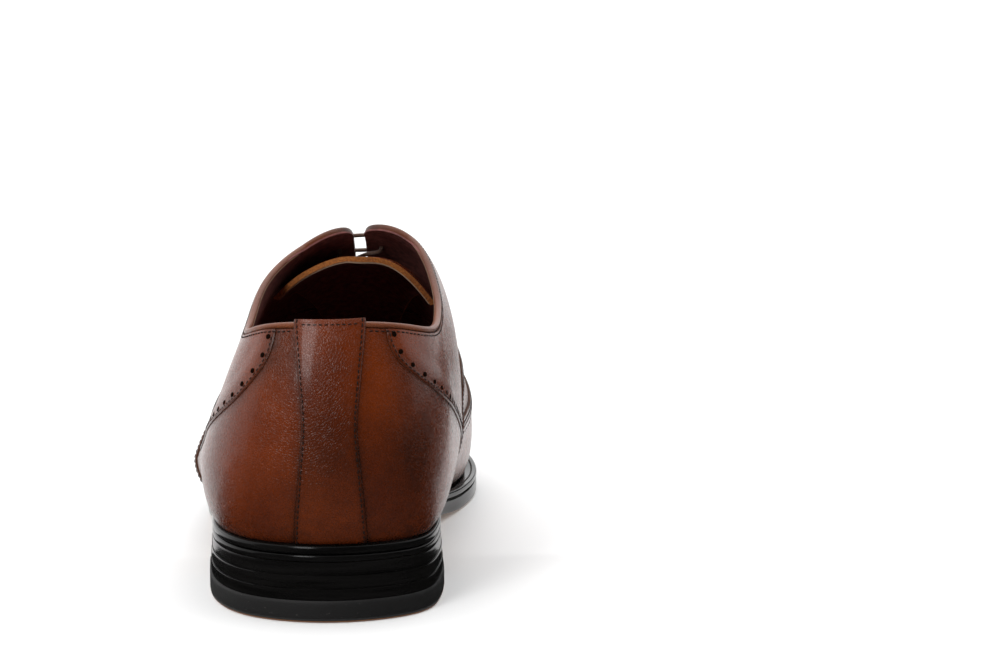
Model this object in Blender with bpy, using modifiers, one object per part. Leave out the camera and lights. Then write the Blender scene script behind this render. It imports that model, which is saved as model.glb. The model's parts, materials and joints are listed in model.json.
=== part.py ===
"""A leather oxford shoe, left foot: welted leather sole, stacked heel, wing cap, laced facings.

Lengths in this file are millimetres; make_object turns them into Blender's metres. The shoe stands on
z = 0 with its toe at +Y, its outer (lateral) side at -X and its inner (medial) side at +X. While it is
built, y = 0 is the back of the heel; ORIGIN then moves the middle of the whole shoe to the world origin.

The upper follows one surface, the last. A place on it is a station and a girth share. The station runs
from -1 (toe, lateral side) through 0 (back of the heel) to 1 (toe, medial side). The girth share v runs
from 0 at the feather edge, where the upper meets the welt, to 1 on the ridge along the top.
"""

import math

import bpy
import numpy as np
from mathutils import Vector

# ---- driving dimensions ----------------------------------------------------------------------------

ORIGIN = (-1.92, 149.2, 0.0)  # middle of the shoe in heel coordinates

# Last, heel to toe: feather x and y, widest x, y and z, fullness low and high, height of the topline.
LAST_LATERAL = (
    (0.0, 4.0, 0.0, 0.0, 44, 1.80, 1.80, 87.4),
    (14.5, 7.0, 16.0, 3.2, 44, 1.75, 1.75, 87.1),
    (26.0, 15.0, 29.5, 12.0, 43, 1.55, 1.62, 85.6),
    (34.0, 29.0, 38.0, 27.0, 42, 1.38, 1.50, 83.2),
    (37.8, 47.0, 41.8, 46.0, 40, 1.30, 1.50, 83.6),
    (39.0, 72.0, 44.8, 72.0, 37, 1.20, 1.70, 91.8),
    (39.0, 102.0, 48.8, 102.0, 31, 1.20, 1.62, 104.3),
    (43.5, 132.0, 52.2, 132.0, 27, 1.26, 1.80, 115.0),
    (47.2, 160.0, 52.6, 160.0, 25, 1.60, 2.05, 115.0),
    (48.4, 187.0, 51.8, 187.0, 23, 2.00, 2.25, 115.0),
    (45.5, 215.0, 48.0, 215.0, 22, 2.30, 2.40, 115.0),
    (38.0, 243.0, 40.0, 243.5, 23, 2.45, 2.50, 115.0),
    (28.5, 268.0, 30.0, 269.5, 25, 2.50, 2.50, 115.0),
    (16.5, 286.0, 17.3, 288.5, 27, 2.50, 2.50, 115.0),
    (-3.0, 295.0, -3.0, 298.0, 28, 2.50, 2.50, 115.0),
)
LAST_MEDIAL = (
    (0.0, 4.0, 0.0, 0.0, 44, 1.80, 1.80, 87.4),
    (14.5, 7.0, 16.0, 3.2, 44, 1.85, 1.85, 87.2),
    (25.5, 15.0, 28.5, 12.0, 43, 2.00, 2.00, 85.8),
    (30.3, 29.0, 34.8, 27.0, 43, 2.20, 2.20, 83.8),
    (32.0, 47.0, 37.3, 46.0, 43, 2.35, 2.35, 85.2),
    (30.5, 72.0, 39.5, 72.0, 44, 2.40, 2.40, 92.3),
    (28.0, 102.0, 40.8, 102.0, 44, 2.45, 2.55, 107.3),
    (30.0, 132.0, 42.3, 132.0, 41, 2.20, 2.30, 115.0),
    (37.0, 160.0, 45.0, 160.0, 34, 2.15, 2.20, 115.0),
    (42.8, 187.0, 47.0, 187.0, 27, 2.25, 2.30, 115.0),
    (44.3, 215.0, 46.8, 215.0, 24, 2.35, 2.40, 115.0),
    (39.5, 243.0, 41.5, 243.5, 24, 2.45, 2.50, 115.0),
    (31.0, 268.0, 32.5, 269.5, 25, 2.50, 2.50, 115.0),
    (19.5, 286.0, 20.5, 288.5, 27, 2.50, 2.50, 115.0),
    (3.0, 295.0, 3.0, 298.0, 28, 2.50, 2.50, 115.0),
)
# Ridge along the top of the last: y, x, z. The heel's sections meet at its rear end, the toe's at its
# front end.
RIDGE = (
    (34, 0.0, 116), (60, 1.5, 114.5), (90, 4.0, 113), (108, 5.6, 110.5), (118, 6.2, 106.2),
    (130, 6.6, 99.3), (145, 7.0, 90.7), (160, 7.2, 82.7), (175, 7.2, 75.5), (195, 6.8, 67.3),
    (215, 6.2, 60.2), (235, 5.5, 53.8), (255, 4.8, 48.2), (266, 4.5, 45.4),
)
RIDGE_REAR = 34
RIDGE_FRONT = 264
RIDGE_ROUND = 14
FEATHER_TILT = math.radians(62)  # how far the section turns in under its widest line

# Height of the feather edge, thickness of the outsole and reach of the welt past the upper, by y.
FEATHER = (
    (0, 22.6), (30, 22.6), (55, 22.0), (80, 19.5), (110, 14.8), (140, 10.8), (165, 8.8), (195, 8.2),
    (225, 9.5), (255, 12.8), (295, 19.0), (302, 20.2),
)
OUTSOLE_THICK = ((0, 2.0), (55, 2.2), (90, 3.4), (130, 4.6), (165, 5.2), (230, 5.2), (295, 5.0))
WELT_REACH = (
    (0, 2.4), (12, 1.8), (30, 1.0), (50, 0.7), (80, 2.0), (130, 3.2), (165, 4.4), (190, 4.7), (295, 5.0),
)

GAP = 0.3            # between pieces that touch
WELT_THICK = 2.4
WELT_INSIDE = 6.0    # how far the welt runs in under the upper
BREAST_Y = 62.0      # front face of the heel
BREAST_HOLLOW = 3.0
HEEL_FLARE = 1.2     # how far the heel spreads from its top to the floor
LIFT_LEVELS = ((17.2, 13.8), (13.5, 9.9), (9.6, 6.5))
TOP_PIECE_TOP = 6.2

LAP = 7.0            # how far one panel runs under the next
LAP_RISE = 1.65      # a panel stands this proud where another lies under it
LAP_FADE = 5.0
LAYER = {            # first and last depth below the outer surface
    "leather": (0.0, 1.0),
    "stiffener": (1.6, 2.1),
    "lining": (2.55, 3.25),
}
BINDING_HIGH = 2.3   # the leather ends this far under the topline, inside the bead
STRAP_HALF = ((0.0, 0.035), (0.19, 0.0275), (0.32, 0.0245), (0.46, 0.0300), (0.62, 0.0415))

# Seams, as (station, girth share). The counter seams run from the topline to the vamp.
LATERAL_SEAM = (
    (0.063, 0.600), (0.063, 0.540), (0.072, 0.480), (0.092, 0.415), (0.113, 0.371), (0.140, 0.329),
    (0.180, 0.280), (0.240, 0.230), (0.310, 0.192), (0.388, 0.163),
)
MEDIAL_SEAM = (
    (0.063, 0.600), (0.063, 0.545), (0.072, 0.490), (0.092, 0.438), (0.113, 0.402), (0.140, 0.364),
    (0.180, 0.320), (0.240, 0.269), (0.310, 0.226), (0.388, 0.190),
)
# Vamp and wing edges, as (share of girth from the ridge, station). The wing meets the vamp's rear edge.
VAMP_EDGE = (
    (0.0, 0.562), (0.15, 0.556), (0.30, 0.536), (0.45, 0.492), (0.56, 0.438), (0.64, 0.408),
    (0.73, 0.395), (0.86, 0.386), (1.0, 0.376),
)
WING_EDGE = (
    (0.0, 0.655), (0.10, 0.690), (0.20, 0.710), (0.30, 0.712), (0.42, 0.690), (0.52, 0.645),
    (0.64, 0.553), (0.70, 0.455), (0.73, 0.395),
)
WING_MEETS = 0.73
FACING_TOP = 0.398   # station of the top of the facings
FACING_SHARE = 0.017 # half the opening between the facings, as a share of the girth
THROAT_SHARE = 0.022

EYELET_ROWS = (120, 130, 140, 150.5, 161)
EYELET_IN = 0.070    # eyelets from the ridge, as a share of the girth
EYELET_HOLE = 1.8
EYELET_OUTER = 2.7
EYELET_THICK = 0.4
LACE_RADIUS = 0.7
LACE_OVER = -1.2     # depth of the lace's middle where it lies on the leather
LACE_UNDER = 4.35    # and where it runs under the lining
AGLET_LONG = 10.0

TONGUE_THICK = 1.0
TONGUE_LINING = 0.7
TONGUE_TOP_Y = 88.0
TONGUE_BASE_Y = 171.0
TONGUE_HALF = ((88, 0.365), (100, 0.350), (118, 0.28), (140, 0.21), (171, 0.15))
TONGUE_SHIFT = 0.024  # the free end leans to the medial side
TONGUE_DEPTH = 6.1    # under the surface of the last
TONGUE_ARCH = 6.9     # how much deeper the middle of the free end lies
TONGUE_FREE = ((86, 1.0), (100, 1.03), (108, 0.95), (118, 0.5), (125, 0.12), (131, 0.0), (172, 0.0))

NAIL_SPOTS = ((0.0, 14.0), (-20.0, 24.0), (18.0, 24.0), (-22.0, 46.0), (19.0, 46.0))

COLOURS = {
    "upper": ((0.33, 0.115, 0.035), 0.34),
    "lining": ((0.075, 0.022, 0.018), 0.55),
    "edge": ((0.012, 0.011, 0.011), 0.25),
    "rubber": ((0.02, 0.019, 0.019), 0.6),
    "cork": ((0.35, 0.22, 0.12), 0.9),
    "board": ((0.62, 0.52, 0.40), 0.8),
    "lace": ((0.06, 0.03, 0.02), 0.6),
    "steel": ((0.55, 0.55, 0.57), 0.3),
    "brass": ((0.55, 0.40, 0.18), 0.3),
}
METALS = ("steel", "brass")


# ---- curves and the last's surface -----------------------------------------------------------------

def monotone(x, table):
    """Monotone cubic through (x, y) pairs."""
    xs, ys = np.array(table, float).T[:2]
    h, rise = np.diff(xs), np.diff(ys) / np.diff(xs)
    slope = np.zeros_like(ys)
    slope[0], slope[-1] = rise[0], rise[-1]
    for i in range(1, len(xs) - 1):
        if rise[i - 1] * rise[i] > 0:
            w1, w2 = 2 * h[i] + h[i - 1], h[i] + 2 * h[i - 1]
            slope[i] = (w1 + w2) / (w1 / rise[i - 1] + w2 / rise[i])
    x = np.clip(x, xs[0], xs[-1])
    k = np.clip(np.searchsorted(xs, x) - 1, 0, len(xs) - 2)
    t = (x - xs[k]) / h[k]
    return ((1 + 2 * t) * (1 - t) ** 2 * ys[k] + t * (1 - t) ** 2 * h[k] * slope[k]
            + t * t * (3 - 2 * t) * ys[k + 1] + t * t * (t - 1) * h[k] * slope[k + 1])


class Spline:
    """Natural cubic spline through rows of values."""

    def __init__(self, xs, rows):
        self.xs, self.rows = np.array(xs, float), np.array(rows, float).reshape(len(xs), -1)
        n, h = len(xs), np.diff(self.xs)
        a, b = np.eye(n), np.zeros_like(self.rows)
        for i in range(1, n - 1):
            a[i, i - 1:i + 2] = h[i - 1], 2 * (h[i - 1] + h[i]), h[i]
            ahead = (self.rows[i + 1] - self.rows[i]) / h[i]
            b[i] = 6 * (ahead - (self.rows[i] - self.rows[i - 1]) / h[i - 1])
        self.bend = np.linalg.solve(a, b)

    def __call__(self, x):
        x = np.clip(np.asarray(x, float), self.xs[0], self.xs[-1])
        k = np.clip(np.searchsorted(self.xs, x) - 1, 0, len(self.xs) - 2)
        h = (self.xs[k + 1] - self.xs[k])[..., None]
        left, right = (self.xs[k + 1] - x)[..., None], (x - self.xs[k])[..., None]
        return ((self.bend[k] * left ** 3 + self.bend[k + 1] * right ** 3) / (6 * h)
                + (self.rows[k] / h - self.bend[k] * h / 6) * left
                + (self.rows[k + 1] / h - self.bend[k + 1] * h / 6) * right)


def last_loop():
    """Both sides of the last as one spline over the station, run on past the toe so that it is smooth."""
    lateral, medial = np.array(LAST_LATERAL), np.array(LAST_MEDIAL)
    lateral[:, [0, 2]] *= -1
    loop = np.vstack([lateral[::-1], medial[1:]])
    steps = np.linalg.norm(np.diff(loop[:, 2:4], axis=0), axis=1)
    n = len(lateral) - 1
    half = (steps[:n][::-1] + steps[n:]) / 2
    side = np.append(0, np.cumsum(half)) / half.sum()
    stations = np.append(-side[:0:-1], side)
    stations = np.concatenate([stations[-4:-1] - 2, stations, stations[1:4] + 2])
    return Spline(stations, np.vstack([loop[-4:-1], loop, loop[1:4]])), side


LOOP, KNOTS = last_loop()
RIDGE_LINE = Spline([row[0] for row in RIDGE], [row[1:] for row in RIDGE])
HALF_STATIONS = np.linspace(0, 1, 401)
HALF_Y = LOOP(HALF_STATIONS)[:, 3]


def station_at(y):
    """Unsigned station whose widest point lies at y."""
    return np.interp(y, HALF_Y, HALF_STATIONS)


def soft_clamp(y):
    """y held between the ends of the ridge, with rounded corners."""
    low = 0.5 * (y + RIDGE_REAR + np.sqrt((y - RIDGE_REAR) ** 2 + RIDGE_ROUND ** 2))
    return 0.5 * (low + RIDGE_FRONT - np.sqrt((low - RIDGE_FRONT) ** 2 + RIDGE_ROUND ** 2))


def section(q, n=96):
    """Points of the last's sections at stations q, from the feather edge up to the ridge."""
    row = LOOP(q)
    foot_x, foot_y, wide_x, wide_y, wide_z, full_low, full_high = (row[:, i:i + 1] for i in range(7))
    ridge_y = soft_clamp(wide_y)
    ridge_x, ridge_z = np.moveaxis(RIDGE_LINE(ridge_y[:, 0]), -1, 0)[..., None]
    foot_z = monotone(foot_y, FEATHER)
    low = n // 4
    turn = np.linspace(FEATHER_TILT, 0, low, endpoint=False)[None, :]
    inward = (1 - np.cos(turn)) / (1 - math.cos(FEATHER_TILT))
    under = np.stack([
        wide_x + (foot_x - wide_x) * inward,
        wide_y + (foot_y - wide_y) * inward,
        wide_z - (wide_z - foot_z) * np.sin(turn) / math.sin(FEATHER_TILT),
    ], -1)
    angle = np.linspace(0, math.pi / 2, n - low)[None, :]
    blend = np.clip((angle - math.radians(20)) / math.radians(42), 0, 1)
    full = full_low + (full_high - full_low) * blend * blend * (3 - 2 * blend)
    out, up = np.abs(np.cos(angle)) ** (2 / full), np.sin(angle) ** (2 / full)
    over = np.stack([
        ridge_x + (wide_x - ridge_x) * out,
        ridge_y + (wide_y - ridge_y) * out,
        wide_z + (ridge_z - wide_z) * up,
    ], -1)
    return np.concatenate([under, over], axis=1)


def girth_shares(sections):
    steps = np.linalg.norm(np.diff(sections, axis=1), axis=2)
    length = np.concatenate([np.zeros((len(sections), 1)), np.cumsum(steps, axis=1)], axis=1)
    return length / length[:, -1:], length[:, -1]


def on_last(q, v):
    """Points at stations q and girth shares v, two arrays of one shape."""
    q, v = np.broadcast_arrays(np.asarray(q, float), np.asarray(v, float))
    sections = section(q.ravel())
    shares, _ = girth_shares(sections)
    flat = v.ravel()[:, None]
    k = np.clip((shares < flat).sum(1), 1, shares.shape[1] - 1)
    i = np.arange(len(k))
    t = ((flat[:, 0] - shares[i, k - 1]) / (shares[i, k] - shares[i, k - 1]))[:, None]
    return (sections[i, k - 1] * (1 - t) + sections[i, k] * t).reshape(q.shape + (3,))


def outward(q, v):
    """Unit normals of the last."""
    q, v = np.broadcast_arrays(np.asarray(q, float), np.asarray(v, float))
    dq, dv = 0.004, 0.012
    v0, v1 = np.clip(v - dv, 0, 1), np.clip(v + dv, 0, 1)
    along = on_last(q + dq, v) - on_last(q - dq, v)
    up = on_last(q, v1) - on_last(q, v0)
    normal = np.cross(along, up)
    return normal / np.linalg.norm(normal, axis=-1, keepdims=True)


def skin(q, v, depth):
    """Points at a depth below the last's surface, kept above the welt."""
    points = on_last(q, v) - outward(q, v) * np.broadcast_to(depth, np.shape(q))[..., None]
    points[..., 2] = np.maximum(points[..., 2], monotone(points[..., 1], FEATHER))
    return points


def topline_share(q, below=0.0):
    """Girth share of the topline at stations q, or of a line that many millimetres of girth below it."""
    q = np.atleast_1d(np.asarray(q, float))
    sections = section(q)
    shares, girth = girth_shares(sections)
    heights = np.minimum(LOOP(q)[:, 7], 107.6)
    found = [np.interp(z, s[:, 2], share) for z, s, share in zip(heights, sections, shares)]
    return np.array(found) - below / girth


def edge_station(share, table):
    return monotone(np.abs(share), table)


def fade(distance, start, width):
    t = np.clip((distance - start) / width, 0, 1)
    return 1 - t * t * (3 - 2 * t)


def rise_near(points, seam, keep=1.0):
    """How far a panel stands proud at points near a seam where it lies on another."""
    distance = np.linalg.norm(points[..., None, :] - seam, axis=-1).min(-1)
    return LAP_RISE * fade(distance, LAP + 1.0, LAP_FADE) * keep


# ---- meshes ----------------------------------------------------------------------------------------

def clear_scene():
    for obj in list(bpy.data.objects):
        bpy.data.objects.remove(obj, do_unlink=True)


def collection(name):
    made = bpy.data.collections.new(name)
    bpy.context.scene.collection.children.link(made)
    return made


clear_scene()
SHOE = collection("oxford_shoe")
CUTTERS = collection("oxford_shoe_cutters")
ROOT = bpy.data.objects.new("shoe_origin", None)
ROOT.location = [-value / 1000 for value in ORIGIN]
SHOE.objects.link(ROOT)
MATERIALS = {}


def material(kind):
    if kind not in MATERIALS:
        colour, roughness = COLOURS[kind]
        made = bpy.data.materials.new(kind)
        made.use_nodes = True
        shader = made.node_tree.nodes["Principled BSDF"]
        shader.inputs["Base Color"].default_value = (*colour, 1)
        shader.inputs["Roughness"].default_value = roughness
        shader.inputs["Metallic"].default_value = float(kind in METALS)
        MATERIALS[kind] = made
    return MATERIALS[kind]


def make_object(name, points, faces, kind, smooth=True):
    """An object from points in millimetres; its faces come out pointing outwards."""
    mesh = bpy.data.meshes.new(name)
    points = np.asarray(points, float)
    mesh.from_pydata((points / 1000).tolist(), [], [list(map(int, face)) for face in faces])
    mesh.validate()
    mesh.update()
    volume = sum(face.center.dot(face.normal) * face.area for face in mesh.polygons)
    if volume < 0:
        mesh.flip_normals()
    mesh.materials.append(material(kind))
    if smooth:
        mesh.shade_smooth()
        mesh.set_sharp_from_angle(angle=math.radians(40))
    obj = bpy.data.objects.new(name, mesh)
    obj.parent = ROOT
    SHOE.objects.link(obj)
    return obj


def welded(points, faces, reach=0.02):
    """Merges points closer than reach and drops the faces that collapse."""
    keys, index = np.unique(np.round(points / reach).astype(int), axis=0, return_inverse=True)
    index = index.reshape(-1)
    merged = np.zeros((len(keys), 3))
    merged[index] = points
    kept = []
    for face in faces:
        ring = [index[i] for i in face]
        ring = [a for a, b in zip(ring, ring[1:] + ring[:1]) if a != b]
        if len(set(ring)) > 2:
            kept.append(ring)
    return merged, kept


def wall(name, outer, inner, kind, fold=False):
    """A closed sheet between two grids of points. fold joins the two halves of the last row."""
    rows, cols = outer.shape[:2]
    count = rows * cols
    points = np.concatenate([outer.reshape(-1, 3), inner.reshape(-1, 3)])
    at = np.arange(count).reshape(rows, cols)
    faces = []
    for i in range(rows - 1):
        for j in range(cols - 1):
            quad = [at[i, j], at[i, j + 1], at[i + 1, j + 1], at[i + 1, j]]
            faces.append(quad)
            faces.append([k + count for k in quad[::-1]])
    borders = [at[0, ::-1], at[:, 0], at[::-1, -1]]
    if not fold:
        borders.append(at[-1, :])
    for border in borders:
        faces += [[a, b, b + count, a + count] for a, b in zip(border[:-1], border[1:])]
    points, faces = welded(points, faces)
    return make_object(name, points, faces, kind)


def coons(bottom, top, left, right, s=None, t=None):
    """Grid of (station, share) pairs between four border curves."""
    s = (np.linspace(0, 1, len(bottom)) if s is None else s)[None, :, None]
    t = (np.linspace(0, 1, len(left)) if t is None else t)[:, None, None]
    corners = ((1 - s) * (1 - t) * bottom[0] + s * (1 - t) * bottom[-1]
               + (1 - s) * t * top[0] + s * t * top[-1])
    return (1 - t) * bottom[None] + t * top[None] + (1 - s) * left[:, None] + s * right[:, None] - corners


def resample(pairs, shares):
    """Points at shares of the length of a line of (station, share) pairs, measured on the last."""
    shares = np.linspace(0, 1, shares) if isinstance(shares, int) else shares
    length = np.append(0, np.cumsum(np.linalg.norm(np.diff(on_last(*pairs.T), axis=0), axis=1)))
    return np.array([np.interp(shares * length[-1], length, pairs[:, i]) for i in range(2)]).T


def smooth(pairs, n=120):
    """A smooth curve through (station, share) pairs."""
    return Spline(range(len(pairs)), pairs)(np.linspace(0, len(pairs) - 1, n))


def shifted(curve, distance):
    """A curve of (station, share) pairs moved sideways over the last, to its left as seen from outside."""
    q, v = curve.T
    e = 0.002
    along_q = (on_last(q + e, v) - on_last(q - e, v)) / (2 * e)
    along_v = (on_last(q, v + e) - on_last(q, v - e)) / (2 * e)
    ahead = np.gradient(on_last(q, v), axis=0)
    side = np.cross(outward(q, v), ahead)
    side *= (distance / np.linalg.norm(side, axis=1))[:, None]
    a, b, c = (along_q ** 2).sum(1), (along_q * along_v).sum(1), (along_v ** 2).sum(1)
    p, r = (along_q * side).sum(1), (along_v * side).sum(1)
    det = a * c - b * b
    return curve + np.stack([(c * p - b * r) / det, (a * r - b * p) / det], 1)


# ---- panels of the upper ---------------------------------------------------------------------------

COUNTER_FREE = 0.305  # from this station on, the counter's lap under the quarter runs out
SEAMS = {-1: resample(smooth(LATERAL_SEAM), 40), 1: resample(smooth(MEDIAL_SEAM), 40)}


def lap_keep(q, later=0.0):
    return fade(np.abs(q), COUNTER_FREE + later, 0.025)


def sheet(name, q, v, layer, kind, rise=0.0, fold=False):
    """A panel of one layer from its stations and shares; rise lifts it off the last."""
    first, last = LAYER[layer]
    return wall(name, skin(q, v, first - rise), skin(q, v, last - rise), kind, fold)


def counter(side, name):
    """Heel quarter behind the counter seam, running under the quarter by the lap."""
    low = 0.00175
    seam = SEAMS[side]
    keep = lap_keep(seam[:, 0])
    lap = shifted(seam * [side, 1], side * (LAP * keep - GAP * 1.6 * (1 - keep))) * [side, 1]
    lap[0, 1] = lap[1, 1]
    corner_q = lap[0, 0]
    over_q = np.linspace(low, corner_q, 6)
    over = np.stack([over_q, topline_share(side * over_q, BINDING_HIGH)], 1)
    down = resample(lap[lap[:, 1] < over[-1, 1] - 0.01], 16)
    top = np.vstack([over, down])
    front_v = np.linspace(0, top[-1, 1], 9)
    front = np.stack([edge_station(1 - front_v, VAMP_EDGE) + 0.011, front_v], 1)
    top[-1] = front[-1]
    bottom = np.stack([np.interp(np.linspace(0, 1, len(top)), [0, 0.36, 1], [low, 0.12, front[0, 0]]),
                       np.zeros(len(top))], 1)
    back = np.stack([np.full(9, low), np.linspace(0, over[0, 1], 9)], 1)
    grid = coons(bottom, top, back, front)
    sheet(name, side * grid[..., 0], grid[..., 1], "leather", "upper")


def facing_line(side, start):
    """The upper edge of a quarter: under the binding, then round the corner at the top of the facing."""
    over_q = np.linspace(start, FACING_TOP - 0.018, 40)
    over = np.stack([over_q, topline_share(side * over_q, BINDING_HIGH)], 1)
    corner = [[FACING_TOP - 0.004, 1 - 0.037], [FACING_TOP, 1 - FACING_SHARE]]
    return np.vstack([over, corner])


def quarter_grid(side, rows=15):
    """Grid of the quarter: counter seam, topline, facing edge and vamp seam."""
    across = np.concatenate([[0, 0.035, 0.075, 0.12], np.linspace(0.19, 1, 11)])
    seam = SEAMS[side]
    over = facing_line(side, seam[0, 0])
    front = np.stack([np.linspace(0.575, FACING_TOP, rows),
                      1 - np.linspace(THROAT_SHARE, FACING_SHARE, rows)], 1)
    share = np.linspace(1 - seam[-1, 1] - 0.004, THROAT_SHARE, 60)
    under = np.stack([edge_station(share, VAMP_EDGE) + 0.019 - 0.005 * (share > 0.8), 1 - share], 1)
    bottom, top = resample(under, across), resample(over, across)
    seam = seam[(seam[:, 1] < over[0, 1] - 0.01) & (seam[:, 0] < bottom[0, 0])]
    rear = resample(np.vstack([over[:1], seam, bottom[:1]]), rows)[::-1]
    bottom[-1], top[-1] = front[0], front[-1]
    return coons(bottom, top, rear, front, s=across)


def quarter(side, name):
    grid = quarter_grid(side)
    q, v = side * grid[..., 0], grid[..., 1]
    seam = on_last(side * SEAMS[side][:, 0], SEAMS[side][:, 1])
    rise = rise_near(on_last(q, v), seam, lap_keep(q, 0.03))
    sheet(name, q, v, "leather", "upper", rise)


LAP_ROWS = np.array([0.0, 0.025, 0.041])[:, None]  # rows of a lapped panel behind its edge, in stations


def crossing_grid(rear, front, shares, rows):
    """Grid over the ridge, between two station curves given at signed shares of girth."""
    t = np.linspace(0, 1, rows)[1:, None]
    lap = np.minimum(LAP_ROWS, 0.9 * (front - rear)[None] * LAP_ROWS / LAP_ROWS[-1])
    start = rear[None] + lap[-1:]
    stations = np.concatenate([rear[None] + lap, (1 - t) * start + t * front[None]])
    signs = np.where(shares < 0, -1, 1)
    return stations * signs[None], np.broadcast_to(1 - np.abs(shares), stations.shape)


def vamp():
    shares = np.linspace(-0.672, 0.672, 27)
    rear = edge_station(shares, VAMP_EDGE)
    keep = fade(np.abs(shares), 0.58, 0.06)
    front = edge_station(shares, WING_EDGE) + 0.020 * keep - 0.002 * (1 - keep)
    q, v = crossing_grid(rear, front, shares, 7)
    edge_shares = np.linspace(-WING_MEETS, WING_MEETS, 60)
    edge = on_last(np.sign(edge_shares) * edge_station(edge_shares, VAMP_EDGE), 1 - np.abs(edge_shares))
    sheet("vamp", q, v, "leather", "upper", rise_near(on_last(q, v), edge))


def wing_edge_station(shares):
    inside = edge_station(shares, WING_EDGE)
    return np.where(np.abs(shares) < WING_MEETS, inside, edge_station(shares, VAMP_EDGE))


def toe_grid(rear, shares, rows):
    """Grid from a rear curve to the toe's centre line, closer together towards the toe."""
    t = 1 - (1 - np.linspace(0, 1, rows)[1:, None]) ** 1.25
    start = rear[None] + LAP_ROWS
    stations = np.concatenate([start, start[-1:] + (1 - start[-1:]) * t])
    signs = np.where(shares < 0, -1, 1)
    return stations * signs[None], np.broadcast_to(1 - np.abs(shares), stations.shape)


def wing_shares():
    """Shares of girth across the wing, with columns at the corners of its edge."""
    half = np.concatenate([np.linspace(0.006, 0.66, 12), [0.70, WING_MEETS], np.linspace(0.79, 0.988, 5)])
    return np.concatenate([-half[::-1], half])


def wing_cap():
    shares = wing_shares()
    q, v = toe_grid(wing_edge_station(shares), shares, 12)
    edge_shares = np.linspace(-1, 1, 120)
    edge = on_last(np.sign(edge_shares) * wing_edge_station(edge_shares), 1 - np.abs(edge_shares))
    sheet("wing_cap", q, v, "leather", "upper", rise_near(on_last(q, v), edge), fold=True)


def back_strap():
    share = np.linspace(0, 1, 11)[:, None]
    top = topline_share([0.0])[0] + 0.004
    v = share * top
    q = monotone(v, STRAP_HALF) * np.linspace(-1, 1, 5)[None, :]
    sheet("back_strap", q, np.broadcast_to(v, q.shape), "leather", "upper", LAP_RISE)


def heel_stations(reach):
    """Stations round the back of the heel, closer together where it turns."""
    side = np.concatenate([np.linspace(0, 0.13, 10), np.arange(0.16, reach - 0.01, 0.03), [reach]])
    return np.concatenate([-side[:0:-1], side])


def linings():
    """Heel lining, two quarter linings and the vamp lining, edge to edge under the outer leather."""
    rows = np.linspace(0, 1, 8)[:, None]
    stations = heel_stations(0.2)
    v = 0.004 + rows * (topline_share(stations, BINDING_HIGH) - 0.004)[None, :]
    sheet("heel_lining", np.broadcast_to(stations, v.shape), v, "lining", "lining")
    for side, name in ((-1, "quarter_lining_lateral"), (1, "quarter_lining_medial")):
        grid = lining_quarter_grid(side)
        sheet(name, side * grid[..., 0], grid[..., 1], "lining", "lining")
    shares = np.concatenate([-np.linspace(0.996, 0.02, 13), np.linspace(0.02, 0.996, 13)])
    rear = edge_station(shares, VAMP_EDGE) - 0.003
    q, v = toe_grid(rear, shares, 10)
    sheet("vamp_lining", q, v, "lining", "lining", fold=True)


def lining_quarter_grid(side):
    """Grid of a quarter lining, from the heel lining to the vamp lining."""
    cols, rows = 12, 9
    back_q = 0.203
    top = resample(facing_line(side, back_q), cols)
    top[-1, 1] -= 0.002
    back = np.stack([np.full(rows, back_q), np.linspace(0.004, top[0, 1], rows)], 1)
    front_share = np.linspace(0.996, THROAT_SHARE + 0.002, rows + cols - 1)
    seam = np.stack([edge_station(front_share, VAMP_EDGE) - 0.010, 1 - front_share], 1)
    bottom = np.vstack([
        np.stack([np.linspace(back_q, seam[0, 0], 4), np.full(4, 0.004)], 1),
        seam[1:rows + cols - 1]])
    bottom = resample(bottom, cols)
    front_q = np.linspace(bottom[-1, 0], FACING_TOP, rows)
    front = np.stack([front_q, 1 - np.linspace(THROAT_SHARE, FACING_SHARE, rows) - 0.002], 1)
    front[0] = bottom[-1]
    return coons(bottom, top, back, front)


def stiffeners():
    stations = heel_stations(0.29)[None, :]
    v = 0.012 + np.linspace(0, 1, 5)[:, None] * (0.40 - 2.2 * stations ** 2)
    sheet("heel_stiffener", np.broadcast_to(stations, v.shape), v, "stiffener", "board")
    half = np.linspace(0.03, 0.985, 10)
    shares = np.concatenate([-half[::-1], half])
    q, v = toe_grid(0.80 + 0.03 * shares ** 2, shares, 7)
    sheet("toe_puff", q, v, "stiffener", "board", fold=True)


# ---- rolled topline --------------------------------------------------------------------------------

def topline_binding():
    """A rounded bead over the top edges of the leather and the lining."""
    side = np.concatenate([np.linspace(0.0, 0.13, 9), np.linspace(0.15, FACING_TOP - 0.027, 14)])
    stations = np.concatenate([-side[:0:-1], side])
    top = topline_share(stations)
    _, girth = girth_shares(section(stations))
    profile = ((0.0, 1.85), (0.0, 1.0), (0.6, 0.2), (1.6, 0.0), (2.6, 0.2), (3.2, 1.0), (3.2, 1.85))
    rings = np.stack([skin(stations, top - drop / girth, np.full(len(stations), depth))
                      for depth, drop in profile], 1)
    make_object("topline_binding", *tube(rings), "upper")


def tube(rings):
    """Points and faces of a closed tube through rings of points, with flat ends."""
    n, m = rings.shape[:2]
    at = np.arange(n * m).reshape(n, m)
    faces = [[at[i, j], at[i, (j + 1) % m], at[i + 1, (j + 1) % m], at[i + 1, j]]
             for i in range(n - 1) for j in range(m)]
    return rings.reshape(-1, 3), faces + [list(at[0, ::-1]), list(at[-1])]


# ---- sole and heel ---------------------------------------------------------------------------------

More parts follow.
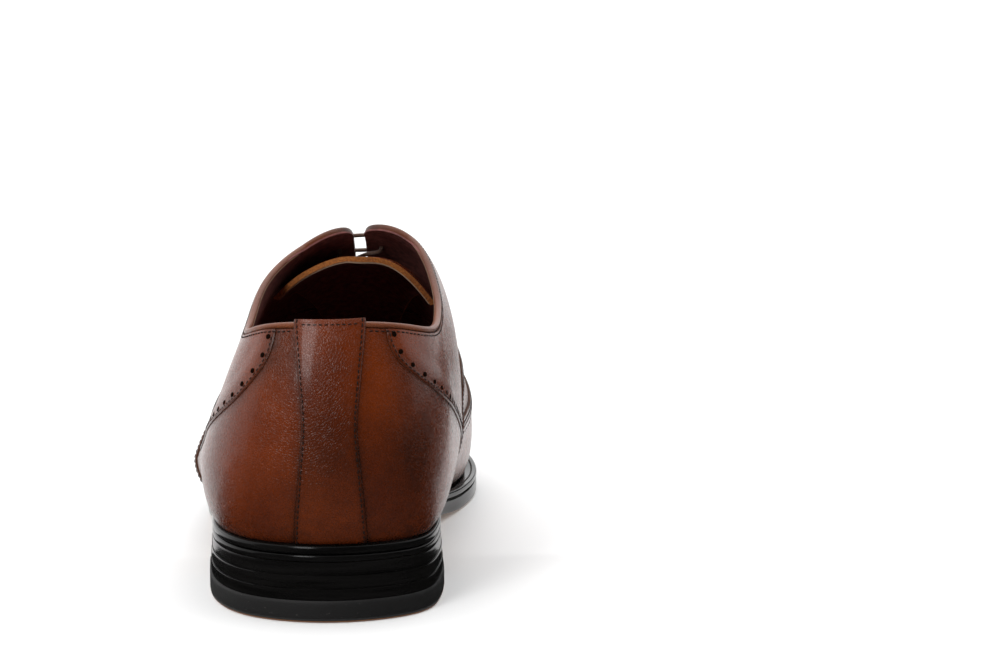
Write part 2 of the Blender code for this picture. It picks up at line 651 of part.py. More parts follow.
def plan_edge(q, reach):
    """The feather line in plan at stations q, moved outwards by reach."""
    q = np.asarray(q, float)
    foot = LOOP(q)[:, :2]
    ahead = LOOP(q + 0.003)[:, :2] - LOOP(q - 0.003)[:, :2]
    ahead /= np.linalg.norm(ahead, axis=1, keepdims=True)
    return foot + np.stack([ahead[:, 1], -ahead[:, 0]], 1) * np.asarray(reach)[..., None]


def reach_at(q, extra=0.0):
    return monotone(LOOP(q)[:, 1], WELT_REACH) + extra


def welt_top(y):
    return monotone(y, FEATHER) - GAP


def sole_top(y):
    return welt_bottom(y) - GAP


def welt_bottom(y):
    return welt_top(y) - WELT_THICK


def sole_bottom(y):
    return sole_top(y) - monotone(y, OUTSOLE_THICK)


def row_stations(y_from, y_to, n):
    """Stations from the heel or toe end, closer together where the outline turns."""
    first, last = station_at(y_from), station_at(y_to)
    t = np.linspace(0, 1, n)
    if y_from <= 0 and y_to >= HALF_Y[-1]:
        t = 0.5 - 0.5 * np.cos(math.pi * t)
    elif y_from <= 0:
        t = t ** 1.3
    elif y_to >= HALF_Y[-1]:
        t = 1 - (1 - t) ** 1.3
    return first + (last - first) * t


def slab(name, kind, stations, reach, top, bottom, across=5, hollow=0.0):
    """A plate whose outline follows the feather line, with its faces at top(y) and bottom(y)."""
    left, right = plan_edge(-stations, reach(-stations)), plan_edge(stations, reach(stations))
    t = np.linspace(0, 1, across)[None, :, None]
    plan = left[:, None] * (1 - t) + right[:, None] * t
    if hollow:
        along = (np.linspace(0, 1, len(stations)) ** 4)[:, None]
        plan[..., 1] -= hollow * along * (1 - (2 * t[..., 0] - 1) ** 2)
    upper = np.concatenate([plan, top(plan[..., 1])[..., None]], -1)
    lower = np.concatenate([plan, bottom(plan[..., 1])[..., None]], -1)
    return wall(name, upper, lower, kind)


def ring(name, kind, stations, inside, outside, top, bottom):
    """A strip along the feather line from the inside reach to the outside reach."""
    inner, outer = plan_edge(stations, inside(stations)), plan_edge(stations, outside(stations))
    rings = np.stack([np.column_stack([plan, height(plan[:, 1])])
                      for plan, height in ((inner, top), (outer, top), (outer, bottom), (inner, bottom))], 1)
    return make_object(name, *tube(rings), kind)


def flat(height):
    """A face at one height."""
    return lambda y: np.full(np.shape(y), height)


def over_feather(height):
    """A face that height above the feather edge."""
    return lambda y: monotone(y, FEATHER) + height


def inset(distance):
    """An outline that distance inside the feather edge."""
    return lambda q: np.full(len(q), -distance)


def sole():
    """Outsole, welt and heel rand, with the insole, sock liner and cork filler inside."""
    slab("outsole", "edge", row_stations(0, 300, 34), reach_at, sole_top, sole_bottom)
    front = station_at(BREAST_Y) + 0.004
    around = np.concatenate([np.linspace(front, 1, 30), np.linspace(-1, -front, 30)[1:]])
    ring("welt", "edge", around, inset(WELT_INSIDE), reach_at, welt_top, welt_bottom)
    back = front - 0.006
    seat = np.linspace(-back, back, 27)
    ring("heel_rand", "edge", seat, inset(WELT_INSIDE), reach_at, welt_top, welt_bottom)
    middle = row_stations(0, 300, 22)[1:-1] * 0.994 + 0.003
    slab("insole", "board", middle, inset(3.7), over_feather(2.2), over_feather(0.0))
    slab("sock_liner", "lining", middle, inset(4.0), over_feather(3.3), over_feather(2.5))
    filler = row_stations(156, 300, 14)[:-1]
    slab("cork_filler", "cork", filler, inset(WELT_INSIDE + 0.5), welt_top, welt_bottom)


def shank():
    """Sprung steel strip between the insole and the outsole, from the heel seat to the ball."""
    ys = np.linspace(26, 152, 13)
    half = 6.5 - 2.0 * np.abs(np.linspace(-1, 1, 13)) ** 3
    x = np.interp(ys, [26, 152], [0.0, -3.0])
    base = welt_top(ys) - 1.9
    rings = np.stack([np.column_stack([x + sx * half, ys, base + up])
                      for sx, up in ((-1, 1.2), (0, 1.5), (1, 1.2), (1, 0.0), (0, 0.3), (-1, 0.0))], 1)
    make_object("shank", *tube(rings), "steel")


def heel_reach(z):
    """Reach of the heel's outline at height z, which flares towards the floor."""
    flare = HEEL_FLARE * (1 - z / LIFT_LEVELS[0][0])
    return lambda q: reach_at(q, flare)


def seat_height(y):
    return sole_bottom(y) - GAP


def heel():
    """Three leather lifts and a rubber top piece, flaring to the floor, held by five nails."""
    stations = row_stations(0, BREAST_Y, 15)
    for i, (top, bottom) in enumerate(LIFT_LEVELS):
        upper = flat(top) if i else seat_height
        slab(f"heel_lift_{i + 1}", "edge", stations, heel_reach((top + bottom) / 2),
             upper, flat(bottom), hollow=BREAST_HOLLOW)
    slab("top_piece", "rubber", stations, heel_reach(TOP_PIECE_TOP / 2),
         flat(TOP_PIECE_TOP), flat(0.0), hollow=BREAST_HOLLOW)
    for i, (x, y) in enumerate(NAIL_SPOTS):
        nail(f"top_piece_nail_{i + 1}", x, y)
        for target, low, high in (("top_piece", -1, 7), ("heel_lift_3", 5, 11)):
            cut_hole(target, f"{target}_hole_{i + 1}", (x, y, low), (0, 0, high - low), 1.3)


def nail(name, x, y):
    """A turned brass nail, its head just above the tread of the top piece."""
    profile = ((0.0, 9.3), (0.55, 8.6), (0.85, 7.4), (0.95, 0.6), (0.95, 0.5), (0.0, 0.5))
    turned(name, profile, (x, y, 0), "brass", 10)


def turned(name, profile, place, kind, steps):
    """A solid of revolution about Z from a (radius, height) profile that starts on the axis."""
    mesh = bpy.data.meshes.new(name)
    points = [(r / 1000, 0, z / 1000) for r, z in profile]
    mesh.from_pydata(points, [(i, i + 1) for i in range(len(points) - 1)], [])
    obj = bpy.data.objects.new(name, mesh)
    obj.location = [value / 1000 for value in place]
    obj.parent = ROOT
    SHOE.objects.link(obj)
    screw = obj.modifiers.new("turn", "SCREW")
    screw.steps = screw.render_steps = steps
    screw.use_merge_vertices = True
    screw.merge_threshold = 1e-5
    mesh.materials.append(material(kind))
    return obj


def cut_hole(target, name, start, along, radius, sides=10):
    """Cuts a round hole through a node, from start in the direction and length of along."""
    start, along = np.array(start, float), np.array(along, float)
    depth = np.linalg.norm(along) / 1000
    bpy.ops.mesh.primitive_cylinder_add(vertices=sides, radius=radius / 1000, depth=depth)
    cutter = bpy.context.object
    cutter.name = name
    cutter.location = (start + along / 2) / 1000
    cutter.rotation_mode = "QUATERNION"
    cutter.rotation_quaternion = Vector(along).to_track_quat("Z", "Y")
    cutter.parent = ROOT
    for holder in list(cutter.users_collection):
        holder.objects.unlink(cutter)
    CUTTERS.objects.link(cutter)
    cutter.hide_render = True
    cutter.display_type = "WIRE"
    cut = bpy.data.objects[target].modifiers.new(name, "BOOLEAN")
    cut.operation = "DIFFERENCE"
    cut.object = cutter


# ---- lacing ----------------------------------------------------------------------------------------

def eyelet_spots(side):
    """(station, share) of each eyelet of one facing, top row first."""
    return [(side * float(station_at(y)), 1 - EYELET_IN) for y in EYELET_ROWS]


def eyelets():
    """Hidden eyelet rings between leather and lining, and the holes that the lace runs through."""
    for side, word in ((-1, "lateral"), (1, "medial")):
        for i, (q, v) in enumerate(eyelet_spots(side)):
            normal = outward(q, v)
            centre = skin(q, v, 1.85)
            ring_at(f"eyelet_{word}_{i + 1}", centre, normal)
            for target in (f"quarter_{word}", f"quarter_lining_{word}"):
                cut_hole(target, f"{target}_eyelet_{i + 1}", centre - normal * 4.5, normal * 9, EYELET_HOLE)


def ring_at(name, centre, normal):
    """A flat turned ring centred on a point, its axis along a normal."""
    half = EYELET_THICK / 2
    profile = ((EYELET_HOLE, half), (EYELET_OUTER, half), (EYELET_OUTER, -half), (EYELET_HOLE, -half))
    steps = 12
    angles = np.linspace(0, 2 * math.pi, steps, endpoint=False)
    axis = normal / np.linalg.norm(normal)
    side = np.cross(axis, (0.0, 1.0, 0.0))
    side /= np.linalg.norm(side)
    other = np.cross(axis, side)
    rings = [[centre + (side * math.cos(a) + other * math.sin(a)) * r + axis * h for r, h in profile]
             for a in angles]
    at = np.arange(steps * 4).reshape(steps, 4)
    faces = [[at[i, j], at[(i + 1) % steps, j], at[(i + 1) % steps, (j + 1) % 4], at[i, (j + 1) % 4]]
             for i in range(steps) for j in range(4)]
    make_object(name, np.array(rings).reshape(-1, 3), faces, "steel")


def lace_route():
    """The lace's own points: in at the lowest medial eyelet, a bar across each row, out at the top."""
    rows = list(zip(eyelet_spots(-1), eyelet_spots(1)))[::-1]
    points = lace_end(rows[0][1], -0.05)
    for i, (lateral, medial) in enumerate(rows):
        points += [skin(*medial, LACE_UNDER), skin(*medial, 1.6), skin(*medial, LACE_OVER)]
        for share in (0.05, 0.0, -0.05):
            side = 1 if share >= 0 else -1
            q = side * abs(medial[0])
            sag = LACE_OVER + (0.5 if share == 0 else 0.0)
            points.append(skin(q, 1 - abs(share), sag))
        points += [skin(*lateral, LACE_OVER), skin(*lateral, 1.6), skin(*lateral, LACE_UNDER)]
        if i + 1 < len(rows):
            points += under_run(lateral, rows[i + 1][1])
    return points + lace_end(rows[-1][0], 0.045)[::-1]


def under_run(start, end):
    """Points of the lace inside the facings, from one eyelet to the next across the opening."""
    found = []
    for t in (0.25, 0.5, 0.75):
        share = -EYELET_IN + 2 * EYELET_IN * t
        station = abs(start[0]) + (abs(end[0]) - abs(start[0])) * t
        found.append(skin(math.copysign(station, share), 1 - abs(share), LACE_UNDER + 0.35))
    return found


def lace_end(spot, along):
    """The lace's loose end, tucked in between lining and tongue, ending where its aglet starts."""
    q, v = spot
    side = math.copysign(1, q)
    found = []
    for t in (1.0, 0.8, 0.6, 0.4, 0.2):
        depth = LACE_UNDER + 0.1 + 0.9 * t - 0.35 * t * t
        found.append(skin(side * (abs(q) + along * t), v - 0.08 * t, depth))
    return found


def lace():
    route = np.array(lace_route())
    curve = bpy.data.curves.new("lace", "CURVE")
    curve.dimensions = "3D"
    curve.bevel_depth = LACE_RADIUS / 1000
    curve.bevel_resolution = 1
    curve.use_fill_caps = True
    length = np.append(0, np.cumsum(np.linalg.norm(np.diff(route, axis=0), axis=1)))
    line = Spline(length, route)(np.linspace(0, length[-1], int(length[-1] / 3.0)))
    spline = curve.splines.new("POLY")
    spline.points.add(len(line) - 1)
    for point, place in zip(spline.points, line):
        point.co = (*(place / 1000), 1)
    curve.materials.append(material("lace"))
    obj = bpy.data.objects.new("lace", curve)
    obj.parent = ROOT
    SHOE.objects.link(obj)
    for i, (end, before) in enumerate(((line[0], line[1]), (line[-1], line[-2]))):
        away = (end - before) / np.linalg.norm(end - before)
        aglet(f"aglet_{i + 1}", end + away * GAP, away)


def aglet(name, start, away):
    """The bound tip of the lace: a slim tapered pin."""
    side = np.cross(away, (0.0, 0.0, 1.0))
    side /= np.linalg.norm(side)
    other = np.cross(away, side)
    angles = np.linspace(0, 2 * math.pi, 8, endpoint=False)[:, None]
    circle = side * np.cos(angles) + other * np.sin(angles)
    rings = np.array([start + away * AGLET_LONG * t + circle * radius
                      for t, radius in ((0.0, 0.75), (0.3, 0.78), (0.95, 0.68), (1.0, 0.45))])
    make_object(name, *tube(rings), "lace")


# ---- tongue ----------------------------------------------------------------------------------------

def tongue_grid(margin=0.0):
    """Stations, shares and depths of the tongue, from its free top edge to its sewn base."""
    t = np.linspace(0, 1, 11)[:, None]
    s = np.linspace(-1, 1, 10)[None, :]
    y = TONGUE_TOP_Y + margin + (TONGUE_BASE_Y - TONGUE_TOP_Y - margin) * t
    half = monotone(y, TONGUE_HALF) - margin / 130
    y = y + 5 * (1 - t) ** 2 * (s ** 4)
    share = s * half + TONGUE_SHIFT * (1 - t)
    free = monotone(y, TONGUE_FREE)
    depth = TONGUE_DEPTH + free * (TONGUE_ARCH - (TONGUE_ARCH + 1.7) * np.abs(s) ** 1.35)
    stations = station_at(y)
    q = np.where(share < 0, -stations, stations)
    return q, 1 - np.abs(share), depth


def tongue():
    q, v, depth = tongue_grid()
    wall("tongue", skin(q, v, depth), skin(q, v, depth + TONGUE_THICK), "upper")
    q, v, depth = tongue_grid(1.2)
    depth = depth + TONGUE_THICK + 0.5
    wall("tongue_lining", skin(q, v, depth), skin(q, v, depth + TONGUE_LINING), "lining")


# ---- the shoe --------------------------------------------------------------------------------------

counter(-1, "counter_lateral")
counter(1, "counter_medial")
quarter(-1, "quarter_lateral")
quarter(1, "quarter_medial")
vamp()
wing_cap()
back_strap()
topline_binding()
linings()
stiffeners()
sole()
shank()
heel()
eyelets()
lace()
tongue()
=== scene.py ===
import json
import math

import bmesh
import bpy
import numpy as np
from mathutils import Euler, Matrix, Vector

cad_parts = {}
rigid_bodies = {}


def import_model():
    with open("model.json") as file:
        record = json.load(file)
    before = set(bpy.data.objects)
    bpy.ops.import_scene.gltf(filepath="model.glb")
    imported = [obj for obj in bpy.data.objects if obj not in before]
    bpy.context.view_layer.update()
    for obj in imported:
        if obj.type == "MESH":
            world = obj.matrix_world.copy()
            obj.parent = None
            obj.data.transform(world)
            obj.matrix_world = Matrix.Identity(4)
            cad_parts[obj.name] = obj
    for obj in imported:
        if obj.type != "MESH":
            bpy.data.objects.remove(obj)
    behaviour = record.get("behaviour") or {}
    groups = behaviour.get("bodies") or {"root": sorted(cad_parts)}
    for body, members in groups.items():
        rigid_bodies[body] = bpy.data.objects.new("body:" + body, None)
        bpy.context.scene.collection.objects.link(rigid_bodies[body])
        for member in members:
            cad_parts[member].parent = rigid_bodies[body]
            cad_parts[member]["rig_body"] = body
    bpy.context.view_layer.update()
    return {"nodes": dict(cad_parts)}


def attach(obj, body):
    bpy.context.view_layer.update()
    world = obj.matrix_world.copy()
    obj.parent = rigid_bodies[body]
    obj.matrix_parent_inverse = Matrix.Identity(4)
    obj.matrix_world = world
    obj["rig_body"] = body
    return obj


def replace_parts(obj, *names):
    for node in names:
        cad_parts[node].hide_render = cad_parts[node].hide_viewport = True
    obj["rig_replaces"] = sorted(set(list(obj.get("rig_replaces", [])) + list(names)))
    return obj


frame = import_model()
print("frame loaded:", len(frame["nodes"]), "nodes")

scene = bpy.context.scene
middle = np.array([-1.92, 149.2, 0.0])


def toWorld(points):
    return (np.asarray(points, float) - middle) / 1000


# The last is a table of points and normals over station (0 at the heel, -1 or 1 at the toe) and girth share.

lastShape = {
    # feather x and y, widest x, y and z, fullness low and high, height of the topline
    "lateral": (
        (0.0, 4.0, 0.0, 0.0, 44, 1.80, 1.80, 87.4),
        (14.5, 7.0, 16.0, 3.2, 44, 1.75, 1.75, 87.1),
        (26.0, 15.0, 29.5, 12.0, 43, 1.55, 1.62, 85.6),
        (34.0, 29.0, 38.0, 27.0, 42, 1.38, 1.50, 83.2),
        (37.8, 47.0, 41.8, 46.0, 40, 1.30, 1.50, 83.6),
        (39.0, 72.0, 44.8, 72.0, 37, 1.20, 1.70, 91.8),
        (39.0, 102.0, 48.8, 102.0, 31, 1.20, 1.62, 104.3),
        (43.5, 132.0, 52.2, 132.0, 27, 1.26, 1.80, 115.0),
        (47.2, 160.0, 52.6, 160.0, 25, 1.60, 2.05, 115.0),
        (48.4, 187.0, 51.8, 187.0, 23, 2.00, 2.25, 115.0),
        (45.5, 215.0, 48.0, 215.0, 22, 2.30, 2.40, 115.0),
        (38.0, 243.0, 40.0, 243.5, 23, 2.45, 2.50, 115.0),
        (28.5, 268.0, 30.0, 269.5, 25, 2.50, 2.50, 115.0),
        (16.5, 286.0, 17.3, 288.5, 27, 2.50, 2.50, 115.0),
        (-3.0, 295.0, -3.0, 298.0, 28, 2.50, 2.50, 115.0),
    ),
    "medial": (
        (0.0, 4.0, 0.0, 0.0, 44, 1.80, 1.80, 87.4),
        (14.5, 7.0, 16.0, 3.2, 44, 1.85, 1.85, 87.2),
        (25.5, 15.0, 28.5, 12.0, 43, 2.00, 2.00, 85.8),
        (30.3, 29.0, 34.8, 27.0, 43, 2.20, 2.20, 83.8),
        (32.0, 47.0, 37.3, 46.0, 43, 2.35, 2.35, 85.2),
        (30.5, 72.0, 39.5, 72.0, 44, 2.40, 2.40, 92.3),
        (28.0, 102.0, 40.8, 102.0, 44, 2.45, 2.55, 107.3),
        (30.0, 132.0, 42.3, 132.0, 41, 2.20, 2.30, 115.0),
        (37.0, 160.0, 45.0, 160.0, 34, 2.15, 2.20, 115.0),
        (42.8, 187.0, 47.0, 187.0, 27, 2.25, 2.30, 115.0),
        (44.3, 215.0, 46.8, 215.0, 24, 2.35, 2.40, 115.0),
        (39.5, 243.0, 41.5, 243.5, 24, 2.45, 2.50, 115.0),
        (31.0, 268.0, 32.5, 269.5, 25, 2.50, 2.50, 115.0),
        (19.5, 286.0, 20.5, 288.5, 27, 2.50, 2.50, 115.0),
        (3.0, 295.0, 3.0, 298.0, 28, 2.50, 2.50, 115.0),
    ),
    "ridge": (  # y, x, z
        (34, 0.0, 116), (60, 1.5, 114.5), (90, 4.0, 113), (108, 5.6, 110.5), (118, 6.2, 106.2),
        (130, 6.6, 99.3), (145, 7.0, 90.7), (160, 7.2, 82.7), (175, 7.2, 75.5), (195, 6.8, 67.3),
        (215, 6.2, 60.2), (235, 5.5, 53.8), (255, 4.8, 48.2), (266, 4.5, 45.4),
    ),
    "ridgeRear": 34, "ridgeFront": 264, "ridgeRound": 14,
    "featherTilt": math.radians(62),
    "feather": (
        (0, 22.6), (30, 22.6), (55, 22.0), (80, 19.5), (110, 14.8), (140, 10.8), (165, 8.8), (195, 8.2),
        (225, 9.5), (255, 12.8), (295, 19.0), (302, 20.2),
    ),
}


def monotone(x, table):
    # monotone cubic through (x, y) pairs
    xs, ys = np.array(table, float).T[:2]
    h, rise = np.diff(xs), np.diff(ys) / np.diff(xs)
    slope = np.zeros_like(ys)
    slope[0], slope[-1] = rise[0], rise[-1]
    for i in range(1, len(xs) - 1):
        if rise[i - 1] * rise[i] > 0:
            w1, w2 = 2 * h[i] + h[i - 1], h[i] + 2 * h[i - 1]
            slope[i] = (w1 + w2) / (w1 / rise[i - 1] + w2 / rise[i])
    x = np.clip(x, xs[0], xs[-1])
    k = np.clip(np.searchsorted(xs, x) - 1, 0, len(xs) - 2)
    t = (x - xs[k]) / h[k]
    return ((1 + 2 * t) * (1 - t) ** 2 * ys[k] + t * (1 - t) ** 2 * h[k] * slope[k]
            + t * t * (3 - 2 * t) * ys[k + 1] + t * t * (t - 1) * h[k] * slope[k + 1])


class Spline:
    # natural cubic spline through rows of values
    def __init__(self, xs, rows):
        self.xs, self.rows = np.array(xs, float), np.array(rows, float).reshape(len(xs), -1)
        n, h = len(xs), np.diff(self.xs)
        a, b = np.eye(n), np.zeros_like(self.rows)
        steps = np.diff(self.rows, axis=0) / h[:, None]
        for i in range(1, n - 1):
            a[i, i - 1:i + 2] = h[i - 1], 2 * (h[i - 1] + h[i]), h[i]
            b[i] = 6 * (steps[i] - steps[i - 1])
        self.bend = np.linalg.solve(a, b)

    def __call__(self, x):
        x = np.clip(np.asarray(x, float), self.xs[0], self.xs[-1])
        k = np.clip(np.searchsorted(self.xs, x) - 1, 0, len(self.xs) - 2)
        h = (self.xs[k + 1] - self.xs[k])[..., None]
        left, right = (self.xs[k + 1] - x)[..., None], (x - self.xs[k])[..., None]
        return ((self.bend[k] * left ** 3 + self.bend[k + 1] * right ** 3) / (6 * h)
                + (self.rows[k] / h - self.bend[k] * h / 6) * left
                + (self.rows[k + 1] / h - self.bend[k + 1] * h / 6) * right)


def lastLoop():
    lateral, medial = np.array(lastShape["lateral"]), np.array(lastShape["medial"])
    lateral[:, [0, 2]] *= -1
    loop = np.vstack([lateral[::-1], medial[1:]])
    steps = np.linalg.norm(np.diff(loop[:, 2:4], axis=0), axis=1)
    n = len(lateral) - 1
    half = (steps[:n][::-1] + steps[n:]) / 2
    side = np.append(0, np.cumsum(half)) / half.sum()
    stations = np.append(-side[:0:-1], side)
    stations = np.concatenate([stations[-4:-1] - 2, stations, stations[1:4] + 2])
    return Spline(stations, np.vstack([loop[-4:-1], loop, loop[1:4]]))


loopLine = lastLoop()
ridgeLine = Spline([row[0] for row in lastShape["ridge"]], [row[1:] for row in lastShape["ridge"]])
halfStations = np.linspace(0, 1, 401)
halfY = loopLine(halfStations)[:, 3]


def stationAt(y):
    return np.interp(y, halfY, halfStations)


def featherHeight(y):
    return monotone(y, lastShape["feather"])


def softClamp(y):
    rear, front, corner = lastShape["ridgeRear"], lastShape["ridgeFront"], lastShape["ridgeRound"]
    low = 0.5 * (y + rear + np.sqrt((y - rear) ** 2 + corner ** 2))
    return 0.5 * (low + front - np.sqrt((low - front) ** 2 + corner ** 2))


def sectionsAt(q, n=200):
    row = loopLine(q)
    footX, footY, wideX, wideY, wideZ, fullLow, fullHigh = (row[:, i:i + 1] for i in range(7))
    ridgeY = softClamp(wideY)
    ridgeX, ridgeZ = np.moveaxis(ridgeLine(ridgeY[:, 0]), -1, 0)[..., None]
    footZ = featherHeight(footY)
    low, tilt = n // 4, lastShape["featherTilt"]
    turn = np.linspace(tilt, 0, low, endpoint=False)[None, :]
    inward = (1 - np.cos(turn)) / (1 - math.cos(tilt))
    under = np.stack([wideX + (footX - wideX) * inward, wideY + (footY - wideY) * inward,
                      wideZ - (wideZ - footZ) * np.sin(turn) / math.sin(tilt)], -1)
    angle = np.linspace(0, math.pi / 2, n - low)[None, :]
    mix = np.clip((angle - math.radians(20)) / math.radians(42), 0, 1)
    full = fullLow + (fullHigh - fullLow) * mix * mix * (3 - 2 * mix)
    out, up = np.abs(np.cos(angle)) ** (2 / full), np.sin(angle) ** (2 / full)
    over = np.stack([ridgeX + (wideX - ridgeX) * out, ridgeY + (wideY - ridgeY) * out,
                     wideZ + (ridgeZ - wideZ) * up], -1)
    return np.concatenate([under, over], axis=1)


tableStations = np.linspace(-1.03, 1.03, 825)
tableShares = np.linspace(0, 1, 161)


def lastTable():
    sections = sectionsAt(tableStations)
    steps = np.linalg.norm(np.diff(sections, axis=1), axis=2)
    length = np.concatenate([np.zeros((len(sections), 1)), np.cumsum(steps, axis=1)], axis=1)
    shares = length / length[:, -1:]
    points = np.array([[np.interp(tableShares, s, p[:, i]) for i in range(3)]
                       for s, p in zip(shares, sections)]).transpose(0, 2, 1)
    normals = np.cross(np.gradient(points, axis=0), np.gradient(points, axis=1))
    normals /= np.linalg.norm(normals, axis=-1, keepdims=True)
    heights = np.minimum(loopLine(tableStations)[:, 7], 107.6)
    topline = np.array([np.interp(z, s[:, 2], r) for z, s, r in zip(heights, sections, shares)])
    return points, normals, length[:, -1], topline


lastPoints, lastNormals, lastGirth, lastTopline = lastTable()


def cubicWeights(t):
    return np.stack([-t ** 3 + 2 * t ** 2 - t, 3 * t ** 3 - 5 * t ** 2 + 2,
                     -3 * t ** 3 + 4 * t ** 2 + t, t ** 3 - t ** 2], -1) / 2


def lookUp(table, q, v):
    # smooth values of a table at stations q and shares v
    a = (np.clip(q, -1.02, 1.02) - tableStations[0]) / (tableStations[1] - tableStations[0])
    b = np.clip(v, 0, 1) / tableShares[1]
    i, j = np.floor(a).astype(int), np.floor(b).astype(int)
    wa, wb = cubicWeights(a - i), cubicWeights(b - j)
    found = 0
    for m in range(4):
        for n in range(4):
            row = np.clip(i + m - 1, 0, len(tableStations) - 1)
            col = np.clip(j + n - 1, 0, len(tableShares) - 1)
            found = found + table[row, col] * (wa[..., m] * wb[..., n])[..., None]
    return found


def onLast(q, v):
    q, v = np.broadcast_arrays(np.asarray(q, float), np.asarray(v, float))
    return lookUp(lastPoints, q, v)


def outward(q, v):
    q, v = np.broadcast_arrays(np.asarray(q, float), np.asarray(v, float))
    normal = lookUp(lastNormals, q, v)
    return normal / np.linalg.norm(normal, axis=-1, keepdims=True)


def skin(q, v, depth):
    points = onLast(q, v) - outward(q, v) * np.broadcast_to(depth, np.shape(q))[..., None]
    points[..., 2] = np.maximum(points[..., 2], featherHeight(points[..., 1]))
    return points


def toplineShare(q, below=0.0):
    q = np.asarray(q, float)
    return np.interp(q, tableStations, lastTopline) - below / np.interp(q, tableStations, lastGirth)


def fade(distance, start, width):
    t = np.clip((distance - start) / width, 0, 1)
    return 1 - t * t * (3 - 2 * t)


def distanceTo(points, line):
    flat = points.reshape(-1, 3)
    found = np.empty(len(flat))
    for i in range(0, len(flat), 4000):
        found[i:i + 4000] = np.sqrt(((flat[i:i + 4000, None] - line[None]) ** 2).sum(-1).min(1))
    return found.reshape(points.shape[:-1])


print("last ready")

# Seams: counter seams as (station, share of girth), vamp and wing edges as (share from the ridge, station).

seams = {
    "lateral": (
        (0.063, 0.600), (0.063, 0.540), (0.072, 0.480), (0.092, 0.415), (0.113, 0.371), (0.140, 0.329),
        (0.180, 0.280), (0.240, 0.230), (0.310, 0.192), (0.388, 0.163),
    ),
    "medial": (
        (0.063, 0.600), (0.063, 0.545), (0.072, 0.490), (0.092, 0.438), (0.113, 0.402), (0.140, 0.364),
        (0.180, 0.320), (0.240, 0.269), (0.310, 0.226), (0.388, 0.190),
    ),
    "vamp": (
        (0.0, 0.562), (0.15, 0.556), (0.30, 0.536), (0.45, 0.492), (0.56, 0.438), (0.64, 0.408),
        (0.73, 0.395), (0.86, 0.386), (1.0, 0.376),
    ),
    "wing": (
        (0.0, 0.655), (0.10, 0.690), (0.20, 0.710), (0.30, 0.712), (0.42, 0.690), (0.52, 0.645),
        (0.64, 0.553), (0.70, 0.455), (0.73, 0.395),
    ),
    "strapHalf": ((0.0, 0.035), (0.19, 0.0275), (0.32, 0.0245), (0.46, 0.0300), (0.62, 0.0415)),
    "wingMeets": 0.73,
    "facingTop": 0.398, "throat": 0.575,             # stations of the ends of a facing
    "facingShare": 0.017, "throatShare": 0.022,      # its share from the ridge at either end
    "lap": 3.5,       # how far a panel runs under its neighbour
    "proud": 0.5,     # how far a lapping panel stands out
    "vampProud": 0.85,
    "bindingHigh": 2.3,  # from the topline down to the leather's edge
}


def edgeStation(share, name):
    return monotone(np.abs(share), seams[name])


def wingStation(share):
    inside = edgeStation(share, "wing")
    return np.where(np.abs(share) < seams["wingMeets"], inside, edgeStation(share, "vamp"))


def resample(pairs, shares):
    shares = np.linspace(0, 1, shares) if isinstance(shares, int) else shares
    length = np.append(0, np.cumsum(np.linalg.norm(np.diff(onLast(*pairs.T), axis=0), axis=1)))
    return np.array([np.interp(shares * length[-1], length, pairs[:, i]) for i in range(2)]).T


def shifted(curve, distance):
    # a (station, share) curve moved sideways over the last, to its left as seen from outside
    q, v = curve.T
    e = 0.003
    alongQ = (onLast(q + e, v) - onLast(q - e, v)) / (2 * e)
    alongV = (onLast(q, v + e) - onLast(q, v - e)) / (2 * e)
    side = np.cross(outward(q, v), np.gradient(onLast(q, v), axis=0))
    side *= (distance / np.linalg.norm(side, axis=1))[:, None]
    a, b, c = (alongQ ** 2).sum(1), (alongQ * alongV).sum(1), (alongV ** 2).sum(1)
    p, r = (alongQ * side).sum(1), (alongV * side).sum(1)
    det = a * c - b * b
    return curve + np.stack([(c * p - b * r) / det, (a * r - b * p) / det], 1)


def coons(bottom, top, left, right, s, t):
    s, t = s[None, :, None], t[:, None, None]
    corners = ((1 - s) * (1 - t) * bottom[0] + s * (1 - t) * bottom[-1]
               + (1 - s) * t * top[0] + s * t * top[-1])
    return (1 - t) * bottom[None] + t * top[None] + (1 - s) * left[:, None] + s * right[:, None] - corners


edgeSteps = np.array([0, 0.12, 0.28, 0.5, 0.8, 1.25, 1.9, 2.7])  # mm from a free edge


def graded(length, count, ends=1):
    # shares of a length, closer together at one or both ends
    start = edgeSteps / length
    stop = 1 - start[-1] if ends == 2 else 1
    inside = np.linspace(start[-1], stop, count)[1:]
    parts = [start, inside]
    if ends == 2:
        parts.append(1 - start[-2::-1])
    return np.concatenate(parts)


counterSeams = {
    side: resample(Spline(range(10), seams[word])(np.linspace(0, 9, 160)), 220)
    for side, word in ((-1, "lateral"), (1, "medial"))
}


def meshObject(name, points, faces, materials, which=None, burnishAndShade=None):
    mesh = bpy.data.meshes.new(name)
    mesh.from_pydata(toWorld(points).tolist(), [], [list(map(int, face)) for face in faces])
    if which is not None:
        mesh.polygons.foreach_set("material_index", np.asarray(which, int))
    if burnishAndShade is not None:
        layer = mesh.attributes.new("burnishAndShade", "FLOAT", "POINT")
        layer.data.foreach_set("value", np.asarray(burnishAndShade, float).ravel())
    for each in materials:
        mesh.materials.append(each)
    shape = bmesh.new()
    shape.from_mesh(mesh)
    bmesh.ops.remove_doubles(shape, verts=shape.verts, dist=2e-6)
    bmesh.ops.dissolve_degenerate(shape, edges=shape.edges, dist=1e-7)
    shape.to_mesh(mesh)
    shape.free()
    mesh.update()
    volume = sum(face.center.dot(face.normal) * face.area for face in mesh.polygons)
    if volume < 0:
        mesh.flip_normals()
    mesh.shade_smooth()
    mesh.set_sharp_from_angle(angle=math.radians(38))
    obj = bpy.data.objects.new(name, mesh)
    scene.collection.objects.link(obj)
    return obj


